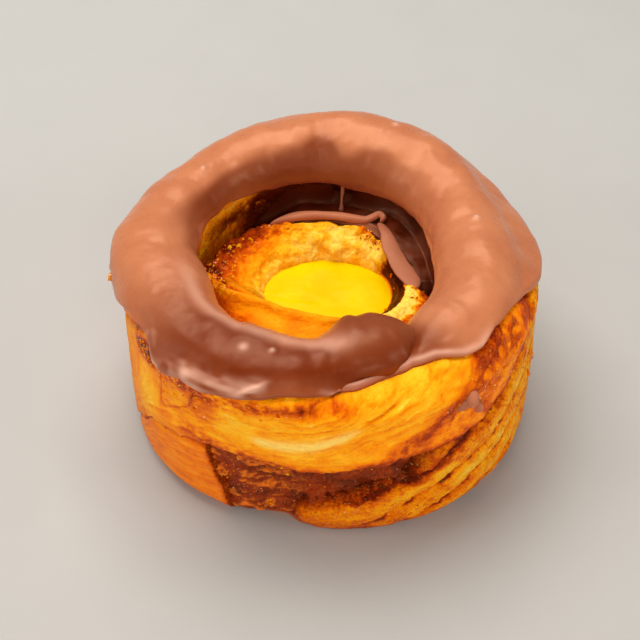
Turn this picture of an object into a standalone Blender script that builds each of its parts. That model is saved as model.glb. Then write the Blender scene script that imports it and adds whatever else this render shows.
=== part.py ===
# A coiled laminated pastry: a rope of layered dough wound into a round, tall case, with
# its upper turn dipped in milk chocolate icing, custard in the basin at its middle, and
# dark chocolate in the gutter between the turns and in a seam that opens in the wall.
# Lengths below are in millimetres.

import math

import bmesh
import bpy

for old in list(bpy.data.objects):
    bpy.data.objects.remove(old)

MM = 0.001
STEPS = 60                      # sections round the case
GAP = 0.3                       # clearance between one piece and the next

RING_RADIUS = 40.6              # centre line of the upper turn
RING_HEIGHT = 43.0
ROPE_RADIUS = 9.6               # dough of the upper turn, under its icing
ICING = 2.3                     # icing and clearance together
ICING_INNER = 176.0             # where the icing ends on the inside of the rope, degrees
WALL_RADIUS = 50.6
CUSTARD_LEVEL = 27.2
FILLING_LEVEL = 33.5
FILLING_START = -6.0            # degrees round the case, from +X towards +Y
FILLING_END = 120.0
SEAM_START = -120.0
SEAM_END = -54.0
SEAM_DEPTH = 12.0               # how far the seam of chocolate runs in from the wall
COVERED = 11                    # points across the icing
BARE = 6                        # points from the icing's edge down to the crease


def bump(angle, centre, width):
    """A smooth hill, 1 at centre and nothing beyond width, round the circle."""
    away = abs((angle - centre + 180.0) % 360.0 - 180.0)
    return 0.5 + 0.5 * math.cos(math.pi * away / width) if away < width else 0.0


def ramp(value, low, high):
    part = min(max((value - low) / (high - low), 0.0), 1.0)
    return part * part * (3.0 - 2.0 * part)


def signed(angle):
    return (angle + 180.0) % 360.0 - 180.0


def ellipse_reach(angle, centre_x, centre_y, half_x, half_y):
    """How far an ellipse lies from the axis in one direction."""
    dx = math.cos(math.radians(angle)) / half_x
    dy = math.sin(math.radians(angle)) / half_y
    px = centre_x / half_x
    py = centre_y / half_y
    along = dx * px + dy * py
    size = dx * dx + dy * dy
    return (along + math.sqrt(along * along - size * (px * px + py * py - 1.0))) / size


def disc_reach(direction, offset_r, offset_z, radius):
    """Far side of a disc seen from a point, 0 where the ray misses it."""
    dr = math.cos(math.radians(direction))
    dz = math.sin(math.radians(direction))
    along = dr * offset_r + dz * offset_z
    inside = along * along - offset_r * offset_r - offset_z * offset_z + radius * radius
    return along + math.sqrt(inside) if radius > 0.0 and inside > 0.0 else 0.0


# the upper turn: one rope all round, with its free end lying inside it at the front

def ring_radius(angle):
    lean = 1.5 * bump(angle, 138, 52) + 2.1 * bump(angle, 18, 44) + 1.5 * bump(angle, -162, 26)
    return RING_RADIUS - lean + 1.2 * bump(angle, 180, 14)


def rope_radius(angle):
    thinner = 2.4 * bump(angle, 134, 52) + 1.2 * bump(angle, 28, 46) + 0.6 * bump(angle, 90, 40)
    return ROPE_RADIUS - thinner


def turn_reach(angle, direction):
    """Dough radius of the upper turn about its centre line, free end included."""
    front = ramp(-signed(angle), 40, 72) * (1.0 - ramp(-signed(angle), 96, 106))
    ring = disc_reach(direction, 2.4 * front, -3.0 * front, rope_radius(angle) - 1.2 * front)
    past = (signed(angle) + 70.0) / 19.0
    if past >= 1.0:
        return ring
    end = math.sqrt(1.0 - past * past) if past > 0.0 else 1.0
    shift = 6.4 * (1.0 - ramp(-signed(angle), 77, 98))
    tail = disc_reach(direction, -shift, 0.3, (rope_radius(angle) + 0.1) * end)
    crease = 1.8 * front * math.exp(-(abs(ring - tail) / 2.2) ** 2)
    return max(ring, tail) - crease * (direction < 130.0)


def ring_point(angle, direction, lift=0.0):
    reach = turn_reach(angle, direction) + lift
    part = math.radians(direction)
    return ring_radius(angle) + reach * math.cos(part), RING_HEIGHT + reach * math.sin(part)


# the wall: two strands over each other, with a crease that opens at the front

def crease_height(angle):
    """The crease climbs slowly round the case as the rope winds."""
    return 15.0 + 9.5 * ramp(signed(angle), -112, -40) + 2.0 * bump(angle, 90, 120)


def wall_radius(angle, height):
    reach = WALL_RADIUS + 1.7 * math.cos(math.radians(angle))
    reach += 3.1 * bump(angle, -40, 56) * (1.0 - 0.5 * ramp(height, 24, 40))
    reach += 1.8 * bump(angle, -140, 40) * (1.0 - ramp(height, 22, 38))
    reach -= 2.4 * bump(angle, 142, 44) + 2.2 * bump(angle, 36, 42)
    depth = 1.1 + 2.6 * bump(angle, -92, 44)
    reach -= depth * math.exp(-((height - crease_height(angle)) / 4.6) ** 2)
    return reach - (4.0 - 2.2 * bump(angle, -80, 80)) * max(1.0 - height / 6.0, 0.0) ** 2


def seam_half(angle):
    """Half the height of the opening between the strands, nearly closed outside the seam."""
    along = signed(angle)
    open_part = ramp(along, SEAM_START - 9, SEAM_START - 3) * (1.0 - ramp(along, SEAM_END + 3, SEAM_END + 9))
    return 0.3 + 1.1 * open_part + 3.9 * bump(angle, -87, 36)


def seam_inner(angle):
    along = signed(angle)
    deep = ramp(along, SEAM_START - 12, SEAM_START - 4) * (1.0 - ramp(along, SEAM_END + 4, SEAM_END + 12))
    return wall_radius(angle, crease_height(angle)) - 0.8 - (SEAM_DEPTH - 0.8) * deep


def seam_wall(angle, side):
    """Mouth and inner end of one face of the opening, side -1 below and 1 above."""
    height = crease_height(angle) + side * seam_half(angle)
    inner_height = crease_height(angle) + 0.6 * side * seam_half(angle)
    return (wall_radius(angle, height), height), (seam_inner(angle), inner_height)


def outer_point(angle, place, lift=0.0):
    """place is an angle on the rope down to 0, and below 0 five steps to the millimetre of wall."""
    if place >= 0.0:
        blend = 1.0 - ramp(place, 0, 40)
        reach, height = ring_point(angle, place, lift)
        width = wall_radius(angle, RING_HEIGHT) + lift - ring_radius(angle)
        across = ring_radius(angle) + width * math.cos(math.radians(place))
        return reach + (across - reach) * blend, height
    height = RING_HEIGHT + 0.2 * place
    return wall_radius(angle, height) + lift, height


def icing_edge(angle):
    """Where the icing ends on the outside: low on the sides, up on the rope at the front."""
    place = -6.0 - 9.0 * bump(angle, -150, 30) + 7.0 * math.sin(math.radians(5.0 * angle))
    front = ramp(-signed(angle), 12, 58) * (1.0 - ramp(-signed(angle), 84, 136))
    return place * (1.0 - front) + 66.0 * front


def covered_place(angle, step):
    return ICING_INNER + (icing_edge(angle) - ICING_INNER) * step / (COVERED - 1)


def bare_place(angle, step):
    bottom = (crease_height(angle) + 8.0 - RING_HEIGHT) * 5.0
    return icing_edge(angle) + (bottom - icing_edge(angle)) * step / BARE


# the inside: basin, lower turn round it, and the gutter outside that

def basin_radius(angle, height):
    rim = ellipse_reach(angle, 1.5, 3.2, 15.9, 11.9)
    return rim * (0.52 + 0.48 * ramp(height, 15, 28)) + 0.35 * max(height - 27.0, 0.0)


def crest_point(angle):
    notch = bump(angle, 22, 26)
    height = 36.4 - 2.8 * math.sin(math.radians(angle)) - 4.6 * notch
    return ellipse_reach(angle, -1.5, 4.0, 24.0, 18.6) - 1.5 * notch, height


def gutter_points(angle):
    """Down the outside of the lower turn, along the gutter, and up the upper turn."""
    crest_r, crest_z = crest_point(angle)
    wall_r, wall_z = ring_point(angle, 208)
    floor = 27.0 + 9.0 * bump(angle, -102, 88) + 5.0 * bump(angle, -27, 22)
    outer = wall_r + 0.4
    inner = crest_r + (outer - crest_r) * 0.42
    return [
        (wall_r, wall_z),
        (outer, 0.45 * wall_z + 0.55 * floor),
        (outer - 0.8, floor + 0.8),
        (inner + 0.6, floor),
        (inner - 0.4, 0.5 * floor + 0.5 * crest_z),
    ]


def case_section(angle):
    """Radius and height of every loop, from the underside out, up and in to the basin."""
    notch = 6.0 * bump(angle, -100, 12)
    foot = wall_radius(angle, 0.0)
    points = [(24.0, 0.0), (foot - 2.5 - notch, 0.0)]
    middle = crease_height(angle)
    half = seam_half(angle)
    for height in (0.9, 2.6, 5.2, 0.5 * (5.2 + middle - half)):
        lifted = height + notch * max(1.0 - height / 9.0, 0.0)
        points.append((wall_radius(angle, height) - 0.6 * notch * (height < 1.0), lifted))
    points.extend(seam_wall(angle, -1))
    points.extend(reversed(seam_wall(angle, 1)))
    points.append((wall_radius(angle, middle + 6.6), middle + 6.6))
    for step in range(BARE, 0, -1):
        points.append(outer_point(angle, bare_place(angle, step)))
    for step in range(COVERED - 1, -1, -1):
        points.append(outer_point(angle, covered_place(angle, step)))
    points.append(ring_point(angle, 192))
    points.extend(gutter_points(angle))
    crest_r, crest_z = crest_point(angle)
    slope_r = basin_radius(angle, 30.0)
    points.append((crest_r + 1.6, crest_z - 1.6))
    points.append((crest_r, crest_z))
    points.append((0.7 * crest_r + 0.3 * slope_r, crest_z - 0.8))
    points.append((0.25 * crest_r + 0.75 * slope_r, 0.45 * crest_z + 0.55 * 30.0))
    for height in (28.0, 23.5, 19.5, 16.6):
        points.append((basin_radius(angle, height), height))
    points.append((0.45 * basin_radius(angle, 16.6), 15.6))
    return points


def icing_section(angle):
    """Out over the top at full thickness, then back along the dough."""
    points = []
    for step in range(COVERED):
        thin = 1.0 if step in (0, COVERED - 1) else 0.0
        points.append(outer_point(angle, covered_place(angle, step), ICING - 0.8 * thin))
    for step in range(COVERED - 1, -1, -1):
        points.append(outer_point(angle, covered_place(angle, step), GAP))
    return points


def custard_section(angle):
    points = [(0.42 * basin_radius(angle, 16.6), 15.6 + 0.5)]
    for height in (17.2, 20.2, 24.0):
        points.append((basin_radius(angle, height) - 0.7, height))
    rim = basin_radius(angle, CUSTARD_LEVEL) - 0.7
    for share, rise in ((1.0, -0.6), (0.9, 0.2), (0.55, 0.7)):
        points.append((rim * share, CUSTARD_LEVEL + rise))
    return points


def filling_section(angle):
    """The pool of chocolate in the gutter, thinner towards its two ends."""
    deep = min(ramp(angle, FILLING_START, FILLING_START + 22), 1.0 - ramp(angle, 98, 124))
    wall, outer, low_outer, low_inner, inner = gutter_points(angle)
    crest_r, crest_z = crest_point(angle)
    level = low_inner[1] + 1.4 + (FILLING_LEVEL - low_inner[1] - 1.4) * deep
    rise = min((level - low_inner[1]) / (inner[1] - low_inner[1]), 1.0)
    reach = low_inner[0] + (inner[0] - low_inner[0]) * rise
    return [
        (reach + 0.6, level),
        (low_inner[0] + 0.3, low_inner[1] + 0.6),
        (low_outer[0] - 0.6, low_outer[1] + 0.6),
        (outer[0] - 0.7, level + 0.3),
        (0.5 * (outer[0] + reach), level + 0.5),
    ]


def seam_section(angle):
    """Chocolate between the strands, a little behind the wall and thinner inside."""
    points = []
    for side, shares in ((-1, (0.96, 0.07)), (1, (0.07, 0.96))):
        (mouth_r, mouth_z), (inner_r, inner_z) = seam_wall(angle, side)
        for share in shares:
            reach = mouth_r + (inner_r - mouth_r) * share
            points.append((reach, mouth_z + (inner_z - mouth_z) * share - 0.42 * side))
    middle = 0.5 * (points[1][0] + points[2][0]) + 0.3
    points.insert(2, (middle, crease_height(angle)))
    return points


def placed(angle, point):
    reach, height = point
    part = math.radians(angle)
    return reach * math.cos(part) * MM, reach * math.sin(part) * MM, height * MM


def material(name, colour, roughness):
    made = bpy.data.materials.new(name)
    made.use_nodes = True
    shader = made.node_tree.nodes["Principled BSDF"]
    shader.inputs["Base Color"].default_value = (*colour, 1.0)
    shader.inputs["Roughness"].default_value = roughness
    return made


def add_object(name, bm, colour, roughness):
    bmesh.ops.recalc_face_normals(bm, faces=bm.faces)
    mesh = bpy.data.meshes.new(name)
    bm.to_mesh(mesh)
    bm.free()
    mesh.polygons.foreach_set("use_smooth", [True] * len(mesh.polygons))
    mesh.materials.append(material(name, colour, roughness))
    made = bpy.data.objects.new(name, mesh)
    bpy.context.scene.collection.objects.link(made)
    return made


def place_loop(loop, turn, index, section):
    for vert in loop:
        angle = 360.0 * vert[turn] / STEPS
        vert.co = placed(angle, section(angle)[index])


def grow_loops(bm, edges, turn, section, count):
    """Extrudes the open loop again and again, each time onto the next points of the section."""
    for index in range(1, count):
        grown = bmesh.ops.extrude_edge_only(bm, edges=edges)["geom"]
        edges = [part for part in grown if isinstance(part, bmesh.types.BMEdge)]
        verts = [part for part in grown if isinstance(part, bmesh.types.BMVert)]
        place_loop(verts, turn, index, section)
    return edges


def first_loop(bm, section):
    """A circle whose points remember which section they belong to."""
    turn = bm.verts.layers.int.new("turn")
    verts = bmesh.ops.create_circle(bm, segments=STEPS, radius=1.0)["verts"]
    for vert in verts:
        angle = math.degrees(math.atan2(vert.co.y, vert.co.x))
        vert[turn] = round(angle * STEPS / 360.0) % STEPS
    place_loop(verts, turn, 0, section)
    return turn, list(bm.edges)


def cap(bm, edges, height):
    """Closes a loop with a fan of triangles about the axis."""
    face = bmesh.ops.contextual_create(bm, geom=edges)["faces"]
    centre = bmesh.ops.poke(bm, faces=face)["verts"][0]
    centre.co = (0.0, 0.0, height * MM)


def capped_body(section, low, high):
    bm = bmesh.new()
    turn, start = first_loop(bm, section)
    end = grow_loops(bm, start, turn, section, len(section(0.0)))
    cap(bm, start, low)
    cap(bm, end, high)
    return bm


def band_body(section):
    bm = bmesh.new()
    turn, start = first_loop(bm, section)
    end = grow_loops(bm, start, turn, section, len(section(0.0)))
    bmesh.ops.bridge_loops(bm, edges=start + end)
    return bm


def swept_body(section, start, end, steps):
    """Carries one closed section along part of the circle."""
    bm = bmesh.new()
    corner = bm.verts.layers.int.new("corner")
    verts = [bm.verts.new(placed(start, point)) for point in section(start)]
    for index, vert in enumerate(verts):
        vert[corner] = index
    faces = [bm.faces.new(verts)]
    for step in range(1, steps + 1):
        angle = start + (end - start) * step / steps
        points = section(angle)
        grown = bmesh.ops.extrude_face_region(bm, geom=faces)["geom"]
        if step > 1:
            bmesh.ops.delete(bm, geom=faces, context="FACES_ONLY")
        faces = [part for part in grown if isinstance(part, bmesh.types.BMFace)]
        for vert in faces[0].verts:
            vert.co = placed(angle, points[vert[corner]])
    return bm


add_object("pastry_coil", capped_body(case_section, 0.0, 15.4), (0.80, 0.38, 0.06), 0.45)
add_object("chocolate_icing", band_body(icing_section), (0.36, 0.14, 0.07), 0.32)
basin_fill = capped_body(custard_section, 15.8, CUSTARD_LEVEL + 0.9)
add_object("custard", basin_fill, (0.95, 0.62, 0.01), 0.3)
dark = (0.11, 0.03, 0.012)
pool = swept_body(filling_section, FILLING_START, FILLING_END, 21)
add_object("chocolate_filling", pool, dark, 0.22)
seam = swept_body(seam_section, SEAM_START, SEAM_END, 11)
add_object("chocolate_seam", seam, dark, 0.3)
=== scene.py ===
import math

import bpy
import numpy as np
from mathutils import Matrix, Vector


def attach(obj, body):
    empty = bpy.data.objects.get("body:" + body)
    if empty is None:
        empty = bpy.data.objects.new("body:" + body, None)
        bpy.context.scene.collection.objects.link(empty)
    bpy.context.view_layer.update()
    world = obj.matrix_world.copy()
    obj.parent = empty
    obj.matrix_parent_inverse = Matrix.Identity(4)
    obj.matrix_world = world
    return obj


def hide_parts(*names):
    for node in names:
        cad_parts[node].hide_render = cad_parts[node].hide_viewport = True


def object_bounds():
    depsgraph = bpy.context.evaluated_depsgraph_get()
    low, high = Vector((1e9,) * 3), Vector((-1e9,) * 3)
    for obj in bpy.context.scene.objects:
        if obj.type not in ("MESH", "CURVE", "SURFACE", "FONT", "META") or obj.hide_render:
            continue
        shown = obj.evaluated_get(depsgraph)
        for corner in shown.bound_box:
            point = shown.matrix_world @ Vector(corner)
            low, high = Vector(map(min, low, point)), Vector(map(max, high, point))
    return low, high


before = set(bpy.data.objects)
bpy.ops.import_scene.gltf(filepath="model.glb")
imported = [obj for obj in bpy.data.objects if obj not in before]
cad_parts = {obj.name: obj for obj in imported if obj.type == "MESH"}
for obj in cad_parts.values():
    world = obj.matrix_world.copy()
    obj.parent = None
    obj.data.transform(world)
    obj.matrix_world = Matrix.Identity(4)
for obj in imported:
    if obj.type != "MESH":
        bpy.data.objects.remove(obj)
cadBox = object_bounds()
mm = 0.001


def report(text):
    # one line for each stage of the build
    print("[coiled pastry]", text)


report("frame loaded")

# small maths, all on whole arrays; angles in degrees, lengths in millimetres


def swing(az):
    # any angle brought into -180..180
    return (az + 180.0) % 360.0 - 180.0


def unwind(az, cut):
    # angles below cut are moved up a turn, so that they run on past 180
    return np.where(az < cut, az + 360.0, az)


def compass(az):
    # cosine and sine of an angle
    part = np.radians(az)
    return np.cos(part), np.sin(part)


def bump(az, centre, width):
    # a cosine hill, 1 at centre and 0 beyond width, measured round the circle
    away = np.abs(swing(az - centre))
    return np.where(away < width, 0.5 + 0.5 * np.cos(np.pi * away / width), 0.0)


def hills(az, table):
    # the sum of cosine hills, each (height, centre, width)
    return sum(height * bump(az, centre, width) for height, centre, width in table)


def ramp(value, low, high):
    # 0 below low, 1 above high, an S between
    part = np.clip((value - low) / (high - low), 0.0, 1.0)
    return part * part * (3.0 - 2.0 * part)


def window(value, start, full, fade, end):
    # 0 before start, 1 from full to fade and 0 again past end
    return ramp(value, start, full) * (1.0 - ramp(value, fade, end))


def bell(value, width):
    # 1 at zero, falling off as a Gaussian of this width
    return np.exp(-(value / width) ** 2)


def mix(a, b, share):
    # from a to b as share goes from 0 to 1
    return a + (b - a) * share


def softTop(value, top, soft):
    # follows value and levels off under top
    return top - soft * np.log1p(np.exp(np.clip((top - value) / soft, -40, 40)))


# large odd numbers that scatter the bits of a lattice place, and the width of the result
scatter = {
    "x": 374761393, "y": 668265263, "z": 1442695041, "seed": 974634777, "stir": 1274126177,
    "bits": 0xFFFFFFFF,
}


def cellHash(ix, iy, iz, seed):
    # whole numbers scrambled to a repeatable value in -1..1
    h = ix * scatter["x"] + iy * scatter["y"] + iz * scatter["z"] + seed * scatter["seed"]
    h = h & scatter["bits"]
    h = ((h ^ (h >> 13)) * scatter["stir"]) & scatter["bits"]
    return ((h ^ (h >> 16)) & 0xFFFF) / 32767.5 - 1.0


def softNoise(x, y, z, seed):
    # values on a unit lattice blended with a quintic, -1..1
    x, y, z = np.broadcast_arrays(x, y, z)
    base = [np.floor(v).astype(np.int64) for v in (x, y, z)]
    part = [v - b for v, b in zip((x, y, z), base)]
    ease = [p * p * p * (p * (p * 6.0 - 15.0) + 10.0) for p in part]
    total = np.zeros(x.shape)
    for corner in range(8):
        step = [(corner >> k) & 1 for k in range(3)]
        weight = np.ones(x.shape)
        for k in range(3):
            weight = weight * (ease[k] if step[k] else 1.0 - ease[k])
        total += weight * cellHash(base[0] + step[0], base[1] + step[1], base[2] + step[2], seed)
    return total


def layeredNoise(x, y, z, seed, octaves=3, gain=0.5):
    # each octave twice as fine and gain as strong as the one before
    total, size, reach = 0.0, 1.0, 0.0
    for octave in range(octaves):
        scale = 2.03 ** octave
        total += size * softNoise(x * scale, y * scale, z * scale, seed + 17 * octave)
        reach += size
        size *= gain
    return total / reach


def ridgeNoise(x, y, z, seed, octaves=2):
    # sharp crests where the noise crosses zero, 0..1
    total = 0.0
    for octave in range(octaves):
        scale = 2.1 ** octave
        crest = 1.0 - np.abs(softNoise(x * scale, y * scale, z * scale, seed + 31 * octave))
        total += crest ** 2 / 2 ** octave
    return total / (2.0 - 0.5 ** (octaves - 1))


def roundNoise(az, size, height, seed):
    # noise on a circle of this size, so that it closes on itself
    x, y = compass(az)
    return softNoise(size * x, size * y, height, seed)


def joined(*parts):
    # rows of several grids side by side
    return np.concatenate(parts, 1)


def vectors(*parts):
    # arrays of any shapes that fit together, stacked to points
    return np.stack(np.broadcast_arrays(*parts), -1)


def cylinder(az, radius, height):
    # points from angle, distance to the axis and height
    x, y = compass(az)
    return vectors(radius * x, radius * y, height)


def splineRows(keys, rows):
    # Catmull-Rom through keys[..., k, :], read at the fractional places in rows
    last = keys.shape[-2] - 1
    low = np.clip(np.floor(rows).astype(int), 0, last - 1)
    t = (rows - low)[:, None]
    before, here = keys[..., np.maximum(low - 1, 0), :], keys[..., low, :]
    after, beyond = keys[..., low + 1, :], keys[..., np.minimum(low + 2, last), :]
    return 0.5 * (
        2.0 * here + (after - before) * t
        + (2.0 * before - 5.0 * here + 4.0 * after - beyond) * t ** 2
        + (3.0 * here - before - 3.0 * after + beyond) * t ** 3
    )


def sectionSlope(radius, height):
    # unit direction of a section along its rows, as its part outwards and its part upwards
    alongR, alongZ = np.gradient(radius, axis=1), np.gradient(height, axis=1)
    size = np.maximum(np.hypot(alongR, alongZ), 1e-6)
    return alongR / size, alongZ / size


# meshes from grids


def gridFaces(across, along, wrapAcross, wrapAlong):
    # quads between neighbouring points; a wrapped direction joins its last row to its first
    a = np.arange(across if wrapAcross else across - 1)
    b = np.arange(along if wrapAlong else along - 1)
    a, b = (part.ravel() for part in np.meshgrid(a, b, indexing="ij"))
    a2, b2 = (a + 1) % across, (b + 1) % along
    return np.stack([a * along + b, a2 * along + b, a2 * along + b2, a * along + b2], -1)


def fanFaces(rim, pole):
    # a triangle from each edge of a closed rim to its pole
    return np.stack([rim, np.full(len(rim), pole), np.roll(rim, -1)], -1)


def makePiece(name, points, quads, triangles=None, marks=None, keepIn=True):
    # puts arrays into a mesh whose faces point outwards, no wider than the CAD where keepIn says so
    # marks are named values or vectors at the points
    if keepIn:
        points = np.clip(points, np.array(cadBox[0]) / mm, np.array(cadBox[1]) / mm)
    triangles = np.zeros((0, 3), int) if triangles is None else triangles
    split = np.concatenate([quads[:, [0, 1, 2]], quads[:, [0, 2, 3]], triangles])
    if np.linalg.det(points[split]).sum() < 0.0:
        quads, triangles = quads[:, ::-1], triangles[:, ::-1]
    corners = np.concatenate([quads.ravel(), triangles.ravel()]).astype(np.int32)
    sizes = np.repeat([4, 3], [len(quads), len(triangles)])
    starts = np.concatenate([[0], np.cumsum(sizes)[:-1]]).astype(np.int32)
    mesh = bpy.data.meshes.new(name)
    mesh.vertices.add(len(points))
    mesh.vertices.foreach_set("co", (points * mm).astype(np.float32).ravel())
    mesh.loops.add(len(corners))
    mesh.loops.foreach_set("vertex_index", corners)
    mesh.polygons.add(len(sizes))
    mesh.polygons.foreach_set("loop_start", starts)
    mesh.polygons.foreach_set("use_smooth", np.ones(len(sizes), bool))
    mesh.update(calc_edges=True)
    mesh.validate()
    for key, values in (marks or {}).items():
        kind, field = ("FLOAT_VECTOR", "vector") if values.ndim == 2 else ("FLOAT", "value")
        layer = mesh.attributes.new(key, kind, "POINT")
        layer.data.foreach_set(field, values.astype(np.float32).ravel())
    piece = bpy.data.objects.new(name, mesh)
    bpy.context.scene.collection.objects.link(piece)
    return piece


def bandPiece(name, grid, marks):
    # a ring-like skin, closed both round the circle and round its own section
    across, along = grid.shape[:2]
    flat = {key: value.reshape(across * along, -1).squeeze() for key, value in marks.items()}
    return makePiece(name, grid.reshape(-1, 3), gridFaces(across, along, True, True), None, flat)


def cappedPiece(name, grid, quads, rims, poles, marks):
    # a grid closed at its two rims by a fan to a pole each; a pole's marks are its rim's mean
    count = grid.shape[0] * grid.shape[1]
    points = np.concatenate([grid.reshape(-1, 3), poles])
    fans = np.concatenate([fanFaces(rims[0], count), fanFaces(rims[1], count + 1)[:, ::-1]])
    flat = {}
    for key, value in (marks or {}).items():
        rows = value.reshape(count, -1)
        ends = [rows[rim].mean(0, keepdims=True) for rim in rims]
        flat[key] = np.concatenate([rows] + ends).squeeze()
    return makePiece(name, points, quads, fans, flat)


def domePiece(name, grid, startPole, endPole, marks=None):
    # wraps round the circle and is closed by a pole at both ends of its section
    across, along = grid.shape[:2]
    first = np.arange(across) * along
    quads = gridFaces(across, along, True, False)
    return cappedPiece(name, grid, quads, (first, first + along - 1), (startPole, endPole), marks)


def sweepPiece(name, grid, marks=None):
    # sections in a row, closed round themselves and capped at both ends
    across, along = grid.shape[:2]
    first = np.arange(along)[::-1]
    quads = gridFaces(across, along, False, True)
    poles = (grid[0].mean(0), grid[-1].mean(0))
    return cappedPiece(name, grid, quads, (first, first + (across - 1) * along), poles, marks)


# the upper turn of the rope, whose free end lies inside it at the front

ring = {
    "radius": 40.6,        # centre line
    "height": 43.0,
    "rope": 9.6,           # dough under the icing
    "iced": 11.6,          # with the icing
    "tailShift": 6.4,      # how far inside the centre line the free end lies
    "tailCentre": -70.0,   # where its round end begins
    "tailReach": 19.0,
    "placeStep": 0.2,      # millimetres of wall to one step of place
    # (millimetres, angle, width) by which the centre line and the rope's own radius change
    "leans": [(-1.5, 138, 52), (-2.1, 18, 44), (-1.5, -162, 26), (-1.5, 4, 40), (1.2, 180, 14)],
    "thins": [(-2.4, 134, 52), (-1.2, 28, 46), (-0.6, 90, 40)],
}


def ringRadius(az):
    # the centre line's distance from the axis
    return ring["radius"] + hills(az, ring["leans"])


def ropeRadius(az):
    # half the rope's thickness
    return ring["rope"] + hills(az, ring["thins"])


def discReach(direction, offR, offZ, radius):
    # far side of a disc along a ray from a point, 0 where it misses
    outR, outZ = compass(direction)
    along = outR * offR + outZ * offZ
    inside = along ** 2 - offR ** 2 - offZ ** 2 + radius ** 2
    return np.where((inside > 0) & (radius > 0), along + np.sqrt(np.maximum(inside, 0)), 0.0)


def turnReach(az, direction, coat, soft, crease):
    # two discs seen from the ring's centre line: the turn itself and the free end beside it
    left = -swing(az)
    front = window(left, 40, 72, 96, 106)
    outer = discReach(direction, 2.4 * front, -3.0 * front, ropeRadius(az) - 1.2 * front + coat)
    past = np.clip((-left - ring["tailCentre"]) / ring["tailReach"], 0.0, 1.0)
    shift = ring["tailShift"] * (1.0 - ramp(left, 77, 98))
    tailRadius = (ropeRadius(az) + 0.1 + coat) * np.sqrt(1.0 - past ** 2) - 3.0 * ramp(left, 112, 176)
    tail = np.where(past < 1.0, discReach(direction, -shift, 0.3, tailRadius), 0.0)
    gap = np.abs(outer - tail)
    blended = np.maximum(outer, tail) + soft * np.log1p(np.exp(-gap / soft))
    beside = window(left, 46, 60, 92, 100) * ramp(130.0 - direction, 0, 20)
    return blended - crease * beside * bell(gap, 2.0)


def wallRadius(az, z):
    # the plain wall without its creases: an off-centre round with two bellies, two flats and a rounded foot
    reach = 50.6 + 1.7 * compass(az)[0] + hills(az, [(-2.4, 142, 44), (-2.2, 36, 42)])
    reach = reach + 3.1 * bump(az, -40, 56) * (1.0 - 0.5 * ramp(z, 24, 40))
    reach = reach + 1.8 * bump(az, -140, 40) * (1.0 - ramp(z, 22, 38))
    return reach - (4.0 - 2.2 * bump(az, -80, 80)) * np.clip(1.0 - z / 6.0, 0, 1) ** 2


def skinPoint(az, place, coat, soft, crease):
    # place is an angle on the rope down to 0, below that five steps to the millimetre of wall
    az, place = np.broadcast_arrays(az, place)
    onRope = np.maximum(place, 0.0)
    reach = turnReach(az, onRope, coat, soft, crease)
    outR, outZ = compass(onRope)
    wall = wallRadius(az, ring["height"]) + coat
    across = ringRadius(az) + (wall - ringRadius(az)) * outR
    radius = mix(ringRadius(az) + reach * outR, across, 1.0 - ramp(onRope, 0, 40))
    height = ring["height"] + reach * outZ
    low = place < 0.0
    z = ring["height"] + ring["placeStep"] * place
    return np.where(low, wallRadius(az, z) + coat, radius), np.where(low, z, height)


# the wall: strands of layered dough lying diagonally over each other

strands = {
    # heights of each crease round the case: (angle, height) where its direction changes
    "frontCrease": [
        (-166, -2), (-158, 7.6), (-144, 19.2), (-133, 23), (-122, 25.4), (-109, 26.4), (-98, 25.0),
        (-88, 24.6), (-79, 26.2), (-70, 28), (-60, 28.4), (-48, 29.4), (-38, 33), (-28, 40), (-18, 46),
        (-12, 50)],
    "rightCrease": [(-100, -40), (-25, -3), (-8, 9), (18, 19), (60, 27), (100, 38), (126, 50), (260, 104)],
    "backCrease": [(50, -36), (88, -5), (110, 11), (150, 24), (180, 31), (206, 44), (214, 50), (260, 70)],
    "lowerTop": [
        (-98, 5), (-96, 8), (-89, 11.5), (-83, 12.8), (-77, 14.4), (-70, 16.9), (-63, 20.6), (-56, 25),
        (-48, 29.4), (-38, 33), (-28, 40), (-18, 46), (60, 80), (130, 110)],
    # ridge of caramel where the upper strand turns under at the right
    "caramel": [
        (-84, 28), (-77.5, 29.2), (-71.5, 32.6), (-67, 34), (-62.5, 36), (-59.5, 38.6), (-55, 41.2),
        (-50.8, 43), (-47, 45), (-43, 49), (-36, 51), (-15, 52)],
    # how the layers run, low down and in the upper strand
    "lowGrain": [
        (-180, -16), (-166, -2), (-144, 19.2), (-120, 25.4), (-60, 28), (-48, 29.4), (-12, 50), (90, -60),
        (180, -16)],
    "upperGrain": [
        (-180, 26), (-140, 31), (-120, 34), (-105, 34.3), (-92, 35.5), (-85, 38.6), (-80, 41), (-70, 44.4),
        (-60, 47.2), (-50, 49.5), (-40, 52), (-12, 62), (90, 50), (180, 26)],
    # a crack and a pale fold in the upper strand
    "crack": [(-80, 43.3), (-77, 44.0), (-73, 45.5), (-68, 46.9)],
    "paleFold": [(-109, 34.6), (-100, 34.2), (-92, 35.4), (-85, 38.6), (-79, 41.8)],
    # right edge of the smooth lower strand at the left: (height, angle)
    "blockEnd": [(0, -116.5), (6, -117), (12, -118), (17.7, -120.3), (22, -121.6), (27, -123)],
    # where the foot is drawn up: angle, width, height
    "notch": (-101.0, 12.0, 4.6),
    # a rounded flap under the icing: angle, height, slant, half its width, depth
    "flap": (-132.7, 37.2, 0.66, 6.3, 4.6),
    # paler places: (browning, strand, angle, width, height, width in height)
    "pale": [
        (-0.10, "upper", -114, 9, 38, 4.5), (-0.26, "all", -145, 8, 29, 6.0),
        (-0.03, "all", -62, 16, 47, 4.5), (-0.16, "lower", -46, 20, 17, 7.0)],
    "meanRadius": 51.0,    # of the cylinder on which the wall's noise is laid
    "leafHeight": 3.3,     # from one layer's edge to the next
    "foldHeight": 9.0,     # from one fold of the lower strand to the next
}


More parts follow.
